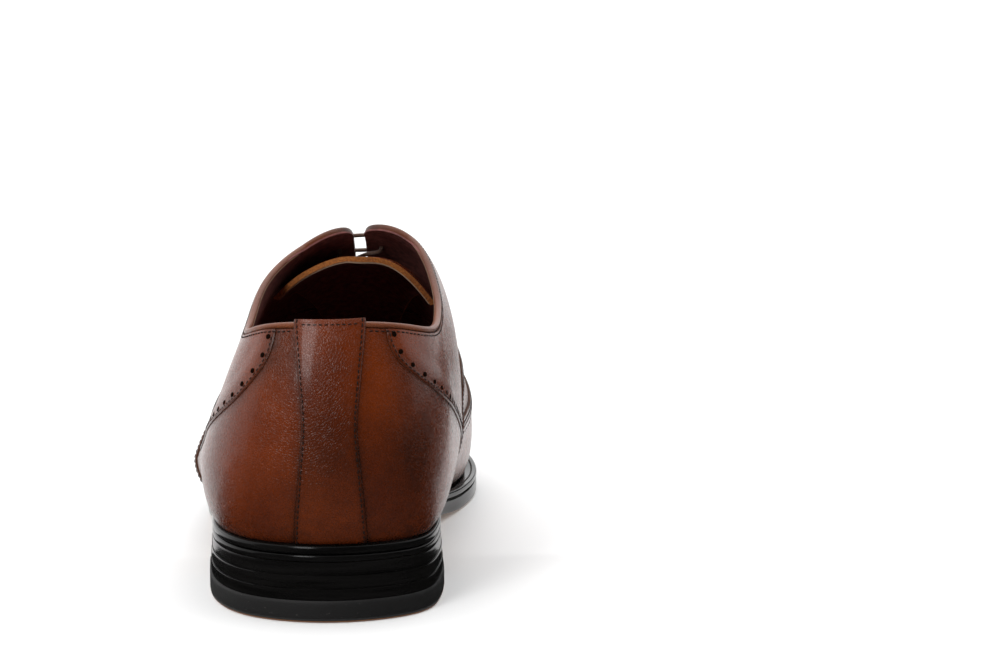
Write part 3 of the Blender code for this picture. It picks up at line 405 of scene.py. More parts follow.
def gridFaces(rows, cols, fold=False):
    # faces of a closed sheet: outer grid, inner grid, and the border in between
    at = np.arange(rows * cols).reshape(rows, cols)
    count = rows * cols
    quads = np.stack([at[:-1, :-1], at[:-1, 1:], at[1:, 1:], at[1:, :-1]], -1).reshape(-1, 4)
    borders = [at[0, ::-1], at[:, 0], at[::-1, -1]]
    if not fold:
        borders.append(at[-1, :])
    rims = [np.stack([b[:-1], b[1:], b[1:] + count, b[:-1] + count], -1) for b in borders]
    faces = np.concatenate([quads, quads[:, ::-1] + count, *rims])
    part = np.concatenate([np.zeros(len(quads)), np.ones(len(quads)), np.full(sum(map(len, rims)), 2)])
    return faces, part.astype(int)


def sheetPiece(name, outer, inner, materials, burnishAndShade=None, fold=False):
    rows, cols = outer.shape[:2]
    faces, part = gridFaces(rows, cols, fold)
    points = np.concatenate([outer.reshape(-1, 3), inner.reshape(-1, 3)])
    both = None if burnishAndShade is None else np.concatenate([burnishAndShade.ravel()] * 2)
    which = None if len(materials) == 1 else np.minimum(part, len(materials) - 1)
    return meshObject(name, points, faces, materials, which, both)


def tubePiece(name, rings, materials, which=None, burnishAndShade=None):
    # a tube through rings of points, closed at both ends
    n, m = rings.shape[:2]
    at = np.arange(n * m).reshape(n, m)
    before, after = at[:-1], at[1:]
    quads = np.stack([before, np.roll(before, -1, 1), np.roll(after, -1, 1), after], -1).reshape(-1, 4)
    faces = quads.tolist() + [at[0, ::-1].tolist(), at[-1].tolist()]
    index = None if which is None else np.tile(which, len(before)).tolist() + [0, 0]
    return meshObject(name, rings.reshape(-1, 3), faces, materials, index, burnishAndShade)


def patches(points):
    # broad uneven darkening, the same everywhere on the shoe
    x, y, z = np.moveaxis(points, -1, 0)
    swell = np.sin(x * 0.11 + z * 0.07 + 1.0) * np.sin(y * 0.06 + 0.4)
    return (swell + np.sin(z * 0.13 - x * 0.05 + 2.2)) / 2


wearAndShade = {
    # darker areas of the heel, partly burnish and partly painted shade on the medial side away from the key
    # light: strength, height and its spread, station and its spread
    "heel": ((0.52, 46, 24, 0.080, 0.045), (0.40, 52, 22, 0.0, 0.022), (0.30, 78, 14, -0.055, 0.030)),
    "low": 0.5, "lowReach": 9.0,
    "toe": 0.75, "toeFrom": 235, "toeLength": 60,
    "uneven": 0.10,
}


def burnishAndShadeAt(points, edges, q):
    # darker near seams, low round the heel and towards the toe as burnish, and in areas of the heel as burnish
    # mixed with painted shade
    near = 0.0
    for line, strength, reach in edges:
        near = np.maximum(near, strength * np.exp(-distanceTo(points, line) / reach))
    x, y, z = np.moveaxis(points, -1, 0)
    low = wearAndShade["low"] * np.exp(-(z - featherHeight(y)) / wearAndShade["lowReach"])
    heel = 0.0
    for strength, height, tall, station, wide in wearAndShade["heel"]:
        heel = heel + strength * np.exp(-((z - height) / tall) ** 2) * np.exp(-((q - station) / wide) ** 2)
    toe = wearAndShade["toe"] * np.clip((y - wearAndShade["toeFrom"]) / wearAndShade["toeLength"], 0, 1) ** 1.3
    return np.clip(near + low + heel + toe + wearAndShade["uneven"] * patches(points), 0, 1)


class Wire:
    # one output socket, with arithmetic that adds math nodes
    def __init__(self, tree, socket):
        self.tree, self.socket = tree, socket

    def node(self, kind, inputs=(), output=0, **settings):
        made = self.tree.nodes.new(kind)
        for key, value in settings.items():
            setattr(made, key, value)
        for key, value in dict(inputs).items():
            if isinstance(value, Wire):
                self.tree.links.new(value.socket, made.inputs[key])
            else:
                made.inputs[key].default_value = value
        return Wire(self.tree, made.outputs[output])

    def math(self, operation, first, second=0.0):
        return self.node("ShaderNodeMath", {0: first, 1: second}, operation=operation)

    def __add__(self, other):
        return self.math("ADD", self, other)

    def __sub__(self, other):
        return self.math("SUBTRACT", self, other)

    def __rsub__(self, other):
        return self.math("SUBTRACT", other, self)

    def __mul__(self, other):
        return self.math("MULTIPLY", self, other)

    def clamp(self, low, high, toLow=0.0, toHigh=1.0):
        return self.node("ShaderNodeMapRange", {0: self, 1: low, 2: high, 3: toLow, 4: toHigh})

    def mix(self, first, second):
        return self.node("ShaderNodeMix", {0: self, 6: (*first, 1) if isinstance(first, tuple) else first,
                                           7: (*second, 1) if isinstance(second, tuple) else second},
                         output=2, data_type="RGBA")


def newMaterial(name, **values):
    made = bpy.data.materials.new(name)
    made.use_nodes = True
    shader = made.node_tree.nodes["Principled BSDF"]
    for key, value in values.items():
        shader.inputs[key.replace("_", " ")].default_value = value
    return made, shader, Wire(made.node_tree, None)


def link(wire, socket):
    wire.tree.links.new(wire.socket, socket)


def objectPlace(start):
    # place on the object in mm
    place = start.node("ShaderNodeTexCoord", output="Object")
    return start.node("ShaderNodeVectorMath", {0: place, 3: 1000.0}, operation="SCALE")


def raised(start, height, shader, strength=1.0):
    # bumps the surface by a height in metres
    bump = start.node("ShaderNodeBump", {"Height": height, "Strength": strength, "Distance": 1.0})
    link(bump, shader.inputs["Normal"])


def mottled(name, low, high, size, detail, relief, strength=1.0, **values):
    # a matt material between two colours, raised by the same noise by up to relief metres
    made, shader, start = newMaterial(name, **values)
    noise = start.node("ShaderNodeTexNoise", {"Vector": objectPlace(start), "Scale": size, "Detail": detail})
    link(noise.clamp(0.3, 0.7).mix(low, high), shader.inputs["Base Color"])
    raised(start, noise * relief, shader, strength)
    return made


# Leather of the upper: linear colours, and sizes in mm.
leather = {
    "light": (0.145, 0.0230, 0.0022),
    "warm": (0.090, 0.0130, 0.0015),
    "dark": (0.018, 0.0042, 0.0012),
    "roughness": 0.27,
    "coat": 0.16,
    "grainSize": 0.75,
    "grainDepth": 0.060,
    "creaseDepth": 0.07,
}


def leatherMaterial(name, values):
    made, shader, start = newMaterial(name, Coat_Roughness=0.14, Specular_IOR_Level=0.22)
    place = objectPlace(start)
    burnishAndShade = start.node("ShaderNodeAttribute", output="Fac", attribute_name="burnishAndShade")
    broad = start.node("ShaderNodeTexNoise", {"Vector": place, "Scale": 0.045, "Detail": 3.0})
    cloud = start.node("ShaderNodeTexNoise",
                       {"Vector": place, "Scale": 0.35, "Detail": 5.0, "Roughness": 0.6})
    cells = start.node("ShaderNodeTexVoronoi", {"Vector": place, "Scale": 1 / values["grainSize"]},
                       feature="DISTANCE_TO_EDGE")
    pores = start.node("ShaderNodeTexNoise", {"Vector": place, "Scale": 2.6, "Detail": 2.0})
    shade = broad.clamp(0.32, 0.68)
    tone = shade.mix(values["warm"], values["light"])
    # mixes towards the dark colour for burnish, and for painted shade on the medial side of the heel
    wornAndShaded = (burnishAndShade * 1.15 + (cloud - 0.5) * 0.55 * burnishAndShade + (cloud - 0.5) * 0.22).clamp(0.0, 1.0)
    colour = wornAndShaded.mix(tone, values["dark"])
    fine = pores.clamp(0.35, 0.65, 0.90, 1.06)
    colour = start.node("ShaderNodeMix", {0: 1.0, 6: colour, 7: fine}, output=2, data_type="RGBA",
                        blend_type="MULTIPLY")
    link(colour, shader.inputs["Base Color"])
    link((cloud - 0.5) * 0.16 + values["roughness"], shader.inputs["Roughness"])
    link((1.0 - wornAndShaded * 0.4) * values["coat"], shader.inputs["Coat Weight"])
    groove = cells.clamp(0.0, 0.22)
    grain = groove * values["grainDepth"] + pores * (values["grainDepth"] * 0.8)
    height = grain + cloud * values["creaseDepth"]
    raised(start, height * 0.001, shader, 0.9)
    return made


upperLeather = leatherMaterial("upper leather", leather)
beadLeather = leatherMaterial("bead leather", {
    **leather, "light": (0.19, 0.052, 0.017), "warm": (0.13, 0.032, 0.010), "coat": 0.2, "roughness": 0.40,
})
rawEdge = mottled("raw edge", (0.045, 0.014, 0.006), (0.10, 0.034, 0.012), 2.2, 4.0, 0.0002, Roughness=0.85)
suedeEdge = mottled("suede edge", (0.20, 0.052, 0.005), (0.44, 0.145, 0.020), 1.6, 5.0, 0.0004,
                    Roughness=0.9, Sheen_Weight=0.2)
liningLeather = mottled("lining leather", (0.110, 0.036, 0.032), (0.240, 0.078, 0.066), 0.5, 6.0, 0.0003,
                        strength=0.7, Roughness=0.62, Specular_IOR_Level=0.35)
creamLine = newMaterial("cream line", Base_Color=(0.50, 0.35, 0.24, 1), Roughness=0.8)[0]
print("leather ready")

cutLeather = [upperLeather, upperLeather, rawEdge]  # outside, inside and edge of a panel


def counterPanel(side, name):
    seam = counterSeams[side] * [side, 1]
    keep = fade(np.abs(seam[:, 0]), 0.305, 0.025)
    lap = shifted(seam, side * (seams["lap"] * keep - 0.4 * (1 - keep))) * [side, 1]
    low = 0.00175
    overQ = np.linspace(low, lap[0, 0], 40)
    over = np.stack([overQ, toplineShare(side * overQ, seams["bindingHigh"])], 1)
    down = resample(lap[lap[:, 1] < over[-1, 1] - 0.002], 110)
    top = np.vstack([over, down])
    frontV = np.linspace(0, top[-1, 1], 40)
    front = np.stack([edgeStation(1 - frontV, "vamp") + 0.011, frontV], 1)
    top[-1] = front[-1]
    n = len(top)
    bottomQ = np.interp(np.linspace(0, 1, n), [0, 0.36, 1], [low, 0.12, front[0, 0]])
    bottom = np.stack([bottomQ, np.zeros(n)], 1)
    rows = np.linspace(0, 1, 64)
    back = np.stack([np.full(64, low), rows * over[0, 1]], 1)
    grid = coons(bottom, top, back, resample(front, 64), np.linspace(0, 1, n), rows)
    q, v = side * grid[..., 0], grid[..., 1]
    points = onLast(q, v)
    seamLine = onLast(*seam.T)
    strap = np.linspace(0, 0.6, 120)
    strapLine = onLast(side * monotone(strap, seams["strapHalf"]), strap)
    burnishAndShade = burnishAndShadeAt(points, ((seamLine, 0.45, 3.0), (strapLine, 0.35, 2.0)), q)
    return sheetPiece(name, skin(q, v, 0.0), skin(q, v, 1.0), [upperLeather], burnishAndShade)


def facingLine(side, start):
    q = np.linspace(start, seams["facingTop"] - 0.030, 200)
    over = np.stack([q, toplineShare(side * q, seams["bindingHigh"])], 1)
    corner = np.array([over[-1], [seams["facingTop"] - 0.010, 0.951],
                       [seams["facingTop"] + 0.014, 1 - seams["facingShare"]]])
    return np.vstack([over, Spline(range(3), corner)(np.linspace(0, 2, 30))[1:]])


def cutRound(near):
    # how far a cut edge is rounded off, in mm
    return 0.3 * np.exp(-(near / 0.3) ** 2)


def stitchDent(near):
    # how far the first row of stitches draws the leather in, in mm
    return 0.10 * np.exp(-((near - 1.6) / 0.5) ** 2)


def quarterPanel(side, name):
    across = graded(118, 110, 2)
    rows = graded(70, 84)
    rows = 1 - rows[::-1]
    rows[0] = 0.0
    seam = counterSeams[side]
    over = facingLine(side, seam[0, 0])
    front = np.stack([seams["throat"] + (over[-1, 0] - seams["throat"]) * rows,
                      1 - (seams["throatShare"] + (seams["facingShare"] - seams["throatShare"]) * rows)], 1)
    share = np.linspace(1 - seam[-1, 1] - 0.004, seams["throatShare"], 200)
    under = np.stack([edgeStation(share, "vamp") + 0.012, 1 - share], 1)
    bottom, top = resample(under, across), resample(over, across)
    seam = seam[(seam[:, 1] < over[0, 1] - 0.002) & (seam[:, 0] < bottom[0, 0])]
    rear = resample(np.vstack([over[:1], seam, bottom[:1]]), 1 - rows[::-1])[::-1]
    bottom[-1], top[-1] = front[0], front[-1]
    grid = coons(bottom, top, rear, front, across, rows)
    q, v = side * grid[..., 0], grid[..., 1]
    points = onLast(q, v)
    seamLine = onLast(side * counterSeams[side][:, 0], counterSeams[side][:, 1])
    facing = onLast(side * front[:, 0], front[:, 1])
    vampShares = np.linspace(0.02, 0.9, 160)
    vampLine = onLast(side * edgeStation(vampShares, "vamp"), 1 - vampShares)
    near = distanceTo(points, seamLine)
    keep = fade(np.abs(q), 0.335, 0.025)
    rise = seams["proud"] * fade(near, 3.6, 6.0) * keep - cutRound(near)
    rise -= cutRound(distanceTo(points, facing))
    rise -= stitchDent(near)
    burnishAndShade = burnishAndShadeAt(points, ((seamLine, 0.5, 1.6), (facing, 0.4, 3.0), (vampLine, 0.6, 4.0)), q)
    return sheetPiece(name, skin(q, v, -rise), skin(q, v, 1.0 - rise - 0.2 * (rise < 0)), cutLeather, burnishAndShade)


def acrossRidge(stations, shares):
    signs = np.where(shares < 0, -1, 1)
    return stations * signs[None], np.broadcast_to(1 - np.abs(shares), stations.shape)


def lapRise(points, edge):
    near = distanceTo(points, edge)
    return seams["vampProud"] * fade(near, 3.6, 6.0) - cutRound(near) - stitchDent(near)


def vampDip(shares):
    # the vamp sinks towards the quarter before it runs under the wing
    return 0.4 + 0.6 * fade(np.abs(shares), 0.60, 0.08)


def vampPanel():
    shares = np.linspace(-0.722, 0.722, 204)
    rear = edgeStation(shares, "vamp")
    front = edgeStation(shares, "wing") + 0.012
    t = graded(30, 44)[:, None]
    q, v = acrossRidge(rear[None] * (1 - t) + front[None] * t, shares)
    points = onLast(q, v)
    full = np.linspace(-seams["wingMeets"], seams["wingMeets"], 400)
    edge = onLast(np.sign(full) * edgeStation(full, "vamp"), 1 - np.abs(full))
    wing = onLast(np.sign(full) * edgeStation(full, "wing"), 1 - np.abs(full))
    rise = lapRise(points, edge) * vampDip(shares)
    burnishAndShade = burnishAndShadeAt(points, ((edge, 0.5, 3.0), (wing, 0.6, 5.0)), q)
    return sheetPiece("vampLeather", skin(q, v, -rise), skin(q, v, 1.0 - rise), cutLeather, burnishAndShade)


def wingPanel():
    half = np.concatenate([np.linspace(0.001, 0.66, 70), np.linspace(0.67, 0.74, 12),
                           np.linspace(0.75, 0.988, 26)])
    shares = np.concatenate([-half[::-1], half])
    rear = wingStation(shares)
    t = graded(95, 90)[:, None]
    t = 1 - (1 - t) ** 1.12
    q, v = acrossRidge(rear[None] * (1 - t) + t, shares)
    points = onLast(q, v)
    full = np.linspace(-1, 1, 700)
    edge = onLast(np.sign(full) * wingStation(full), 1 - np.abs(full))
    rise = lapRise(points, edge)
    burnishAndShade = burnishAndShadeAt(points, ((edge, 0.5, 3.0),), q)
    return sheetPiece("wingLeather", skin(q, v, -rise), skin(q, v, 1.0 - rise), cutLeather, burnishAndShade,
                      fold=True)


def strapPanel():
    top = float(toplineShare(0.0)) + 0.004
    v = np.linspace(0, 1, 90)[:, None] * top
    half = monotone(v, seams["strapHalf"])
    s = np.concatenate([graded(10, 8) - 1, 1 - graded(10, 8)[-2::-1]])[None, :]
    q = half * s
    v = np.broadcast_to(v, q.shape)
    fromEdge = (1 - np.abs(s)) * 10.0 + 0 * v
    fromTop = (top - v) * 160
    rise = seams["proud"] + 0.05 - cutRound(fromEdge)
    rise = rise - 0.10 * np.exp(-((fromEdge - 1.0) / 0.4) ** 2)
    rise -= 0.15 * np.exp(-(fromTop / 0.4) ** 2)
    points = onLast(q, v)
    line = onLast(half[:, 0], v[:, 0])
    other = onLast(-half[:, 0], v[:, 0])
    burnishAndShade = burnishAndShadeAt(points, ((line, 0.55, 1.0), (other, 0.55, 1.0)), q * 0.6)
    return sheetPiece("strapLeather", skin(q, v, -rise), skin(q, v, 1.0 - rise - 0.05), cutLeather, burnishAndShade)


for side, word in ((-1, "lateral"), (1, "medial")):
    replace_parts(counterPanel(side, f"counterLeather.{word}"), f"counter_{word}")
    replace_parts(quarterPanel(side, f"quarterLeather.{word}"), f"quarter_{word}")
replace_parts(vampPanel(), "vamp")
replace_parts(wingPanel(), "wing_cap")
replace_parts(strapPanel(), "back_strap")
print("leather panels made")


def collarPath():
    # from the lateral throat up its facing, round the collar and down the medial facing
    station = np.linspace(0.574, seams["facingTop"] + 0.016, 90)
    ends = [seams["facingShare"], seams["throatShare"]]
    gap = np.interp(station, [seams["facingTop"], seams["throat"]], ends)
    paths = []
    for side in (-1, 1):
        top = np.linspace(0, seams["facingTop"] - 0.034, 160)
        over = np.stack([top, toplineShare(side * top)], 1)
        corner = np.array([over[-1], [seams["facingTop"] - 0.009, 0.960], [station[-1], 1 - gap[-1]]])
        bend = Spline(range(3), corner)(np.linspace(0, 2, 30))
        half = np.vstack([over, bend[1:-1], np.stack([station, 1 - gap], 1)[::-1]])
        paths.append(half * [side, 1])
    return np.vstack([paths[0][::-1], paths[1][1:]])


def toplineBead():
    path = resample(collarPath(), 760)
    bare = fade(np.abs(path[:, 0]), seams["facingTop"] - 0.035, 0.03)  # 1 at the collar, 0 along the facings
    high, thick, centre = 0.55 + 0.45 * bare, 1.62 - 0.47 * bare, 1.46 - 0.46 * bare
    angles = np.radians(np.arange(-90, 270, 18.0))
    rings = []
    for a in angles:
        drop = high * (0.96 - math.sin(a))
        depth = centre - thick * math.cos(a)
        moved = shifted(path, -drop)
        rings.append(skin(*moved.T, depth))
    rings = np.stack(rings, 1)
    cream = [int(math.radians(140) < a < math.radians(150)) for a in angles]
    burnishAndShade = 0.12 + 0.5 * (1 - bare)[:, None] + np.zeros(rings.shape[:2])
    return tubePiece("toplineBead", rings, [beadLeather, creamLine], cream, burnishAndShade)


def liningSheet(name, q, v, fold=False):
    # the lining comes up against the leather under the collar
    drop = (toplineShare(q) - v) * np.interp(q, tableStations, lastGirth)
    bare = fade(np.abs(q), seams["facingTop"] - 0.055, 0.04)
    first = 2.55 - 1.35 * fade(drop, 3.0, 13.0) * bare
    return sheetPiece(name, skin(q, v, first), skin(q, v, first + 0.55), [liningLeather], fold=fold)


def heelLining():
    side = np.concatenate([np.linspace(0, 0.13, 50), np.linspace(0.132, 0.2, 16)])
    stations = np.concatenate([-side[:0:-1], side])
    rows = np.linspace(0, 1, 40)[:, None]
    v = 0.004 + rows * (toplineShare(stations, 2.0) - 0.004)[None, :]
    return liningSheet("heelLining", np.broadcast_to(stations, v.shape), v)


def quarterLining(sign, name):
    cols, t = np.linspace(0, 1, 90), np.linspace(0, 1, 60)
    start, low = 0.203, 0.004
    top = resample(facingLine(sign, start), cols)
    top[-1, 1] -= 0.002
    frontShare = np.linspace(0.996, seams["throatShare"] + 0.002, 240)
    seam = np.stack([edgeStation(frontShare, "vamp") - 0.010, 1 - frontShare], 1)
    foot = np.stack([np.linspace(start, seam[0, 0], 20), np.full(20, low)], 1)
    bottom = resample(np.vstack([foot, seam[1:]]), cols)
    back = np.stack([np.full(len(t), start), low + (top[0, 1] - low) * t], 1)
    frontQ = bottom[-1, 0] + (seams["facingTop"] - bottom[-1, 0]) * t
    gap = seams["throatShare"] + (seams["facingShare"] - seams["throatShare"]) * t + 0.002
    front = np.stack([frontQ, 1 - gap], 1)
    grid = coons(bottom, top, back, front, cols, t)
    return liningSheet(name, sign * grid[..., 0], grid[..., 1])


def vampLining():
    shares = np.concatenate([-np.linspace(0.996, 0.002, 60), np.linspace(0.002, 0.996, 60)])
    rear = edgeStation(shares, "vamp") - 0.003
    t = np.linspace(0, 1, 60)[:, None]
    q, v = acrossRidge(rear[None] * (1 - t) + t, shares)
    return liningSheet("vampLining", q, v, fold=True)


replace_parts(toplineBead(), "topline_binding")
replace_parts(heelLining(), "heel_lining")
for side, word in ((-1, "lateral"), (1, "medial")):
    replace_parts(quarterLining(side, f"quarterLining.{word}"), f"quarter_lining_{word}")
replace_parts(vampLining(), "vamp_lining")
print("collar and linings made")


# Sole and heel, in mm.
soleShape = {
    "gap": 0.3, "weltThick": 2.4, "weltInside": 6.0,
    "outsole": ((0, 2.0), (55, 2.2), (90, 3.4), (130, 4.6), (165, 5.2), (230, 5.2), (295, 5.0)),
    "reach": (
        (0, 2.4), (12, 1.8), (30, 1.0), (50, 0.7), (80, 2.0), (130, 3.2), (165, 4.4), (190, 4.7), (295, 5.0),
    ),
    "breast": 62.0, "hollow": 3.0, "flare": 1.2,
    "lifts": ((17.2, 13.8), (13.5, 9.9), (9.6, 6.5)),
    "topPiece": 6.2,
    "nails": ((0.0, 14.0), (-20.0, 24.0), (18.0, 24.0), (-22.0, 46.0), (19.0, 46.0)),
}


def planEdge(q, reach):
    q = np.asarray(q, float)
    foot = loopLine(q)[:, :2]
    ahead = loopLine(q + 0.003)[:, :2] - loopLine(q - 0.003)[:, :2]
    ahead /= np.linalg.norm(ahead, axis=1, keepdims=True)
    return foot + np.stack([ahead[:, 1], -ahead[:, 0]], 1) * np.asarray(reach)[..., None]


def reachAt(q, extra=0.0):
    return monotone(loopLine(q)[:, 1], soleShape["reach"]) + extra


def weltTop(y):
    return featherHeight(y) - soleShape["gap"]


def weltBottom(y):
    return weltTop(y) - soleShape["weltThick"]


def soleTop(y):
    return weltBottom(y) - soleShape["gap"]


def soleBottom(y):
    return soleTop(y) - monotone(y, soleShape["outsole"])


def flat(height):
    return lambda y: np.full(np.shape(y), height)


def edgeProfile(bevel, bulge):
    # (inset, share of height) of rings round an edge, from its top to its bottom
    rings = [(bevel, 0.0), (bevel * 0.35, 0.05), (0.0, 0.16)]
    rings += [(-bulge * math.sin(math.pi * t), 0.16 + 0.68 * t) for t in (0.25, 0.5, 0.75)]
    return rings + [(0.0, 0.84), (bevel * 0.35, 0.95), (bevel, 1.0)]


def slabPiece(name, stations, top, bottom, extra, materials, hollow=0.0, bevel=0.35, bulge=0.0, across=7):
    # a plate with rounded edges that follows the outline of the sole
    n = len(stations)
    t = np.linspace(0, 1, across)[None, :, None]
    rings = []
    profile = edgeProfile(bevel, bulge)
    along = (np.linspace(0, 1, n) ** 4)[:, None]

    def plan(inset):
        left = planEdge(-stations, reachAt(-stations, extra) - inset)
        right = planEdge(stations, reachAt(stations, extra) - inset)
        found = left[:, None] * (1 - t) + right[:, None] * t
        if hollow:
            found[..., 1] -= hollow * along * (1 - (2 * t[..., 0] - 1) ** 2)
        return found

    def lifted(flatPlan, share):
        high, low = top(flatPlan[..., 1]), bottom(flatPlan[..., 1])
        return np.concatenate([flatPlan, (high + (low - high) * share)[..., None]], -1)

    upperGrid, lowerGrid = lifted(plan(bevel), 0.0), lifted(plan(bevel), 1.0)
    at = np.arange(n * across).reshape(n, across)
    border = np.concatenate([at[::-1, 0], at[1:, -1], at[-1, -2:0:-1]])
    for inset, share in profile[1:-1]:
        rings.append(lifted(plan(inset), share).reshape(-1, 3)[border])
    count, size = n * across, len(border)
    quads = np.stack([at[:-1, :-1], at[:-1, 1:], at[1:, 1:], at[1:, :-1]], -1).reshape(-1, 4)
    loops = [border] + [2 * count + i * size + np.arange(size) for i in range(len(rings))] + [border + count]
    sides = [np.stack([a, np.roll(a, -1), np.roll(b, -1), b], -1) for a, b in zip(loops, loops[1:])]
    points = np.concatenate([upperGrid.reshape(-1, 3), lowerGrid.reshape(-1, 3), *rings])
    faces = np.concatenate([quads, quads[:, ::-1] + count, *sides])
    which = np.zeros(len(faces), int)
    which[len(quads):2 * len(quads)] = len(materials) - 1
    return meshObject(name, points, faces, materials, which)


def ringPiece(name, stations, materials):
    # a strip along the feather line: the welt and the heel rand
    profile = edgeProfile(0.5, 0.15)
    rings = []
    inner = planEdge(stations, np.full(len(stations), -soleShape["weltInside"]))
    rings.append(np.column_stack([inner, weltTop(inner[:, 1])]))
    for inset, share in profile:
        outer = planEdge(stations, reachAt(stations) - inset)
        high, low = weltTop(outer[:, 1]), weltBottom(outer[:, 1])
        rings.append(np.column_stack([outer, high + (low - high) * share]))
    rings.append(np.column_stack([inner, weltBottom(inner[:, 1])]))
    return tubePiece(name, np.stack(rings, 1), materials)


edgeInk = {"colour": (0.0022, 0.0021, 0.0020), "roughness": 0.15, "lines": 5.5, "lineDepth": 0.06}


def inkMaterial(values):
    made, shader, start = newMaterial("edge ink", Specular_IOR_Level=0.10, Coat_Weight=0.05,
                                      Coat_Roughness=0.06)
    place = start.node("ShaderNodeTexCoord", output="Object")
    long = start.node("ShaderNodeMapping", {"Vector": place, "Scale": (18.0, 18.0, values["lines"] * 1000)})
    lines = start.node("ShaderNodeTexNoise", {"Vector": long, "Scale": 0.22, "Detail": 4.0})
    wide = start.node("ShaderNodeMapping", {"Vector": place, "Scale": (60.0, 60.0, 900.0)})
    smear = start.node("ShaderNodeTexNoise", {"Vector": wide, "Scale": 0.6, "Detail": 3.0})
    link(smear.clamp(0.3, 0.7).mix(values["colour"], (0.0060, 0.0056, 0.0054)), shader.inputs["Base Color"])
    link(smear.clamp(0.3, 0.7, values["roughness"], values["roughness"] + 0.08), shader.inputs["Roughness"])
    raised(start, lines * (values["lineDepth"] * 0.001), shader, 0.8)
    return made


def rubberMaterial():
    made, shader, start = newMaterial("rubber", Roughness=0.62, Specular_IOR_Level=0.3)
    place = objectPlace(start)
    speck = start.node("ShaderNodeTexVoronoi", {"Vector": place, "Scale": 0.9})
    dust = start.node("ShaderNodeTexNoise", {"Vector": place, "Scale": 3.0, "Detail": 3.0})
    dot = speck.clamp(0.05, 0.12, 1.0, 0.0) * dust.clamp(0.5, 0.62)
    body = dot.mix((0.011, 0.0105, 0.0105), (0.16, 0.15, 0.14))
    height = start.node("ShaderNodeSeparateXYZ", {0: place}, output=2)
    link(height.clamp(0.25, 0.45, 1.0, 0.0).mix(body, (0.20, 0.085, 0.035)), shader.inputs["Base Color"])
    raised(start, dust * 0.00012, shader, 0.8)
    return made


ink, rubber = inkMaterial(edgeInk), rubberMaterial()
tread = mottled("sole leather", (0.30, 0.15, 0.07), (0.44, 0.25, 0.13), 0.25, 6.0, 0.0003,
                strength=0.6, Roughness=0.5)


def ends(count, first, last, power):
    return first + (last - first) * np.linspace(0, 1, count) ** power


def nailHoles(piece):
    for x, y in soleShape["nails"]:
        bpy.ops.mesh.primitive_cylinder_add(vertices=32, radius=0.0013, depth=0.014,
                                            location=toWorld((x, y, 0)))
        cutter = bpy.context.object
        cut = piece.modifiers.new("nail hole", "BOOLEAN")
        cut.operation, cut.object = "DIFFERENCE", cutter
        graph = bpy.context.evaluated_depsgraph_get()
        done = bpy.data.meshes.new_from_object(piece.evaluated_get(graph))
        piece.modifiers.remove(cut)
        piece.data = done
        bpy.data.objects.remove(cutter, do_unlink=True)


def soleAndHeel():
    breast, hollow, heelHigh = stationAt(soleShape["breast"]), soleShape["hollow"], soleShape["lifts"][0][0]
    whole = 0.5 - 0.5 * np.cos(math.pi * np.linspace(0, 1, 260))
    sole = slabPiece("soleLeather", whole, soleTop, soleBottom, 0.0, [ink, tread], bevel=0.4, bulge=0.1)
    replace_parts(sole, "outsole")
    front = breast + 0.004
    around = np.concatenate([np.linspace(front, 1, 260), np.linspace(-1, -front, 260)[1:]])
    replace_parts(ringPiece("weltStrip", around, [ink]), "welt")
    back = front - 0.006
    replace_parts(ringPiece("randStrip", np.linspace(-back, back, 260), [ink]), "heel_rand")
    stations = breast * np.linspace(0, 1, 110) ** 1.3
    for i, (top, bottom) in enumerate(soleShape["lifts"]):
        upperFace = (lambda y: soleBottom(y) - 0.04) if i == 0 else flat(top + 0.13)
        extra = soleShape["flare"] * (1 - (top + bottom) / 2 / heelHigh)
        piece = slabPiece(f"heelLift.{i + 1}", stations, upperFace, flat(bottom - 0.13), extra, [ink],
                          hollow=hollow, bevel=0.07)
        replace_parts(piece, f"heel_lift_{i + 1}")
    extra = soleShape["flare"] * (1 - soleShape["topPiece"] / 2 / heelHigh)
    piece = slabPiece("heelRubber", stations, flat(soleShape["topPiece"] + 0.1), flat(0.0), extra + 0.1,
                      [rubber], hollow=hollow, bevel=0.3)
    nailHoles(piece)
    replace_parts(piece, "top_piece")


soleAndHeel()
print("sole and heel made")


# Tongue: y along the shoe, shares of girth across it, depths under the last.
tongueShape = {
    "topY": 88.0, "baseY": 171.0, "thick": 1.75, "lining": 0.45,
    "half": ((88, 0.365), (100, 0.350), (118, 0.28), (140, 0.21), (171, 0.15)),
    "lean": 0.024,   # the free end leans to the medial side
    "depth": 6.1, "arch": 6.9,
    "free": ((86, 1.0), (100, 1.03), (108, 0.95), (118, 0.5), (125, 0.12), (131, 0.0), (172, 0.0)),
}


def tongueGrid(margin, rows=90, cols=80):
    t = np.linspace(0, 1, rows)[:, None]
    s = np.linspace(-1, 1, cols)[None, :]
    span = tongueShape["baseY"] - tongueShape["topY"] - margin
    y = tongueShape["topY"] + margin + span * t
    half = monotone(y, tongueShape["half"]) - margin / 130
    y = y + 5 * (1 - t) ** 2 * (s ** 4)
    share = s * half + tongueShape["lean"] * (1 - t)
    arch = tongueShape["arch"]
    free = monotone(y, tongueShape["free"])
    depth = tongueShape["depth"] + free * (arch - (arch + 1.7) * (np.abs(s) ** 2 + 0.003) ** 0.675)
    stations = stationAt(y)
    return np.where(share < 0, -stations, stations), 1 - np.abs(share), depth


def eased(points):
    # evens the tongue across the last's ridge
    points = points.copy()
    for _ in range(30):
        points[:, 1:-1] = (points[:, :-2] + 2 * points[:, 1:-1] + points[:, 2:]) / 4
    return points


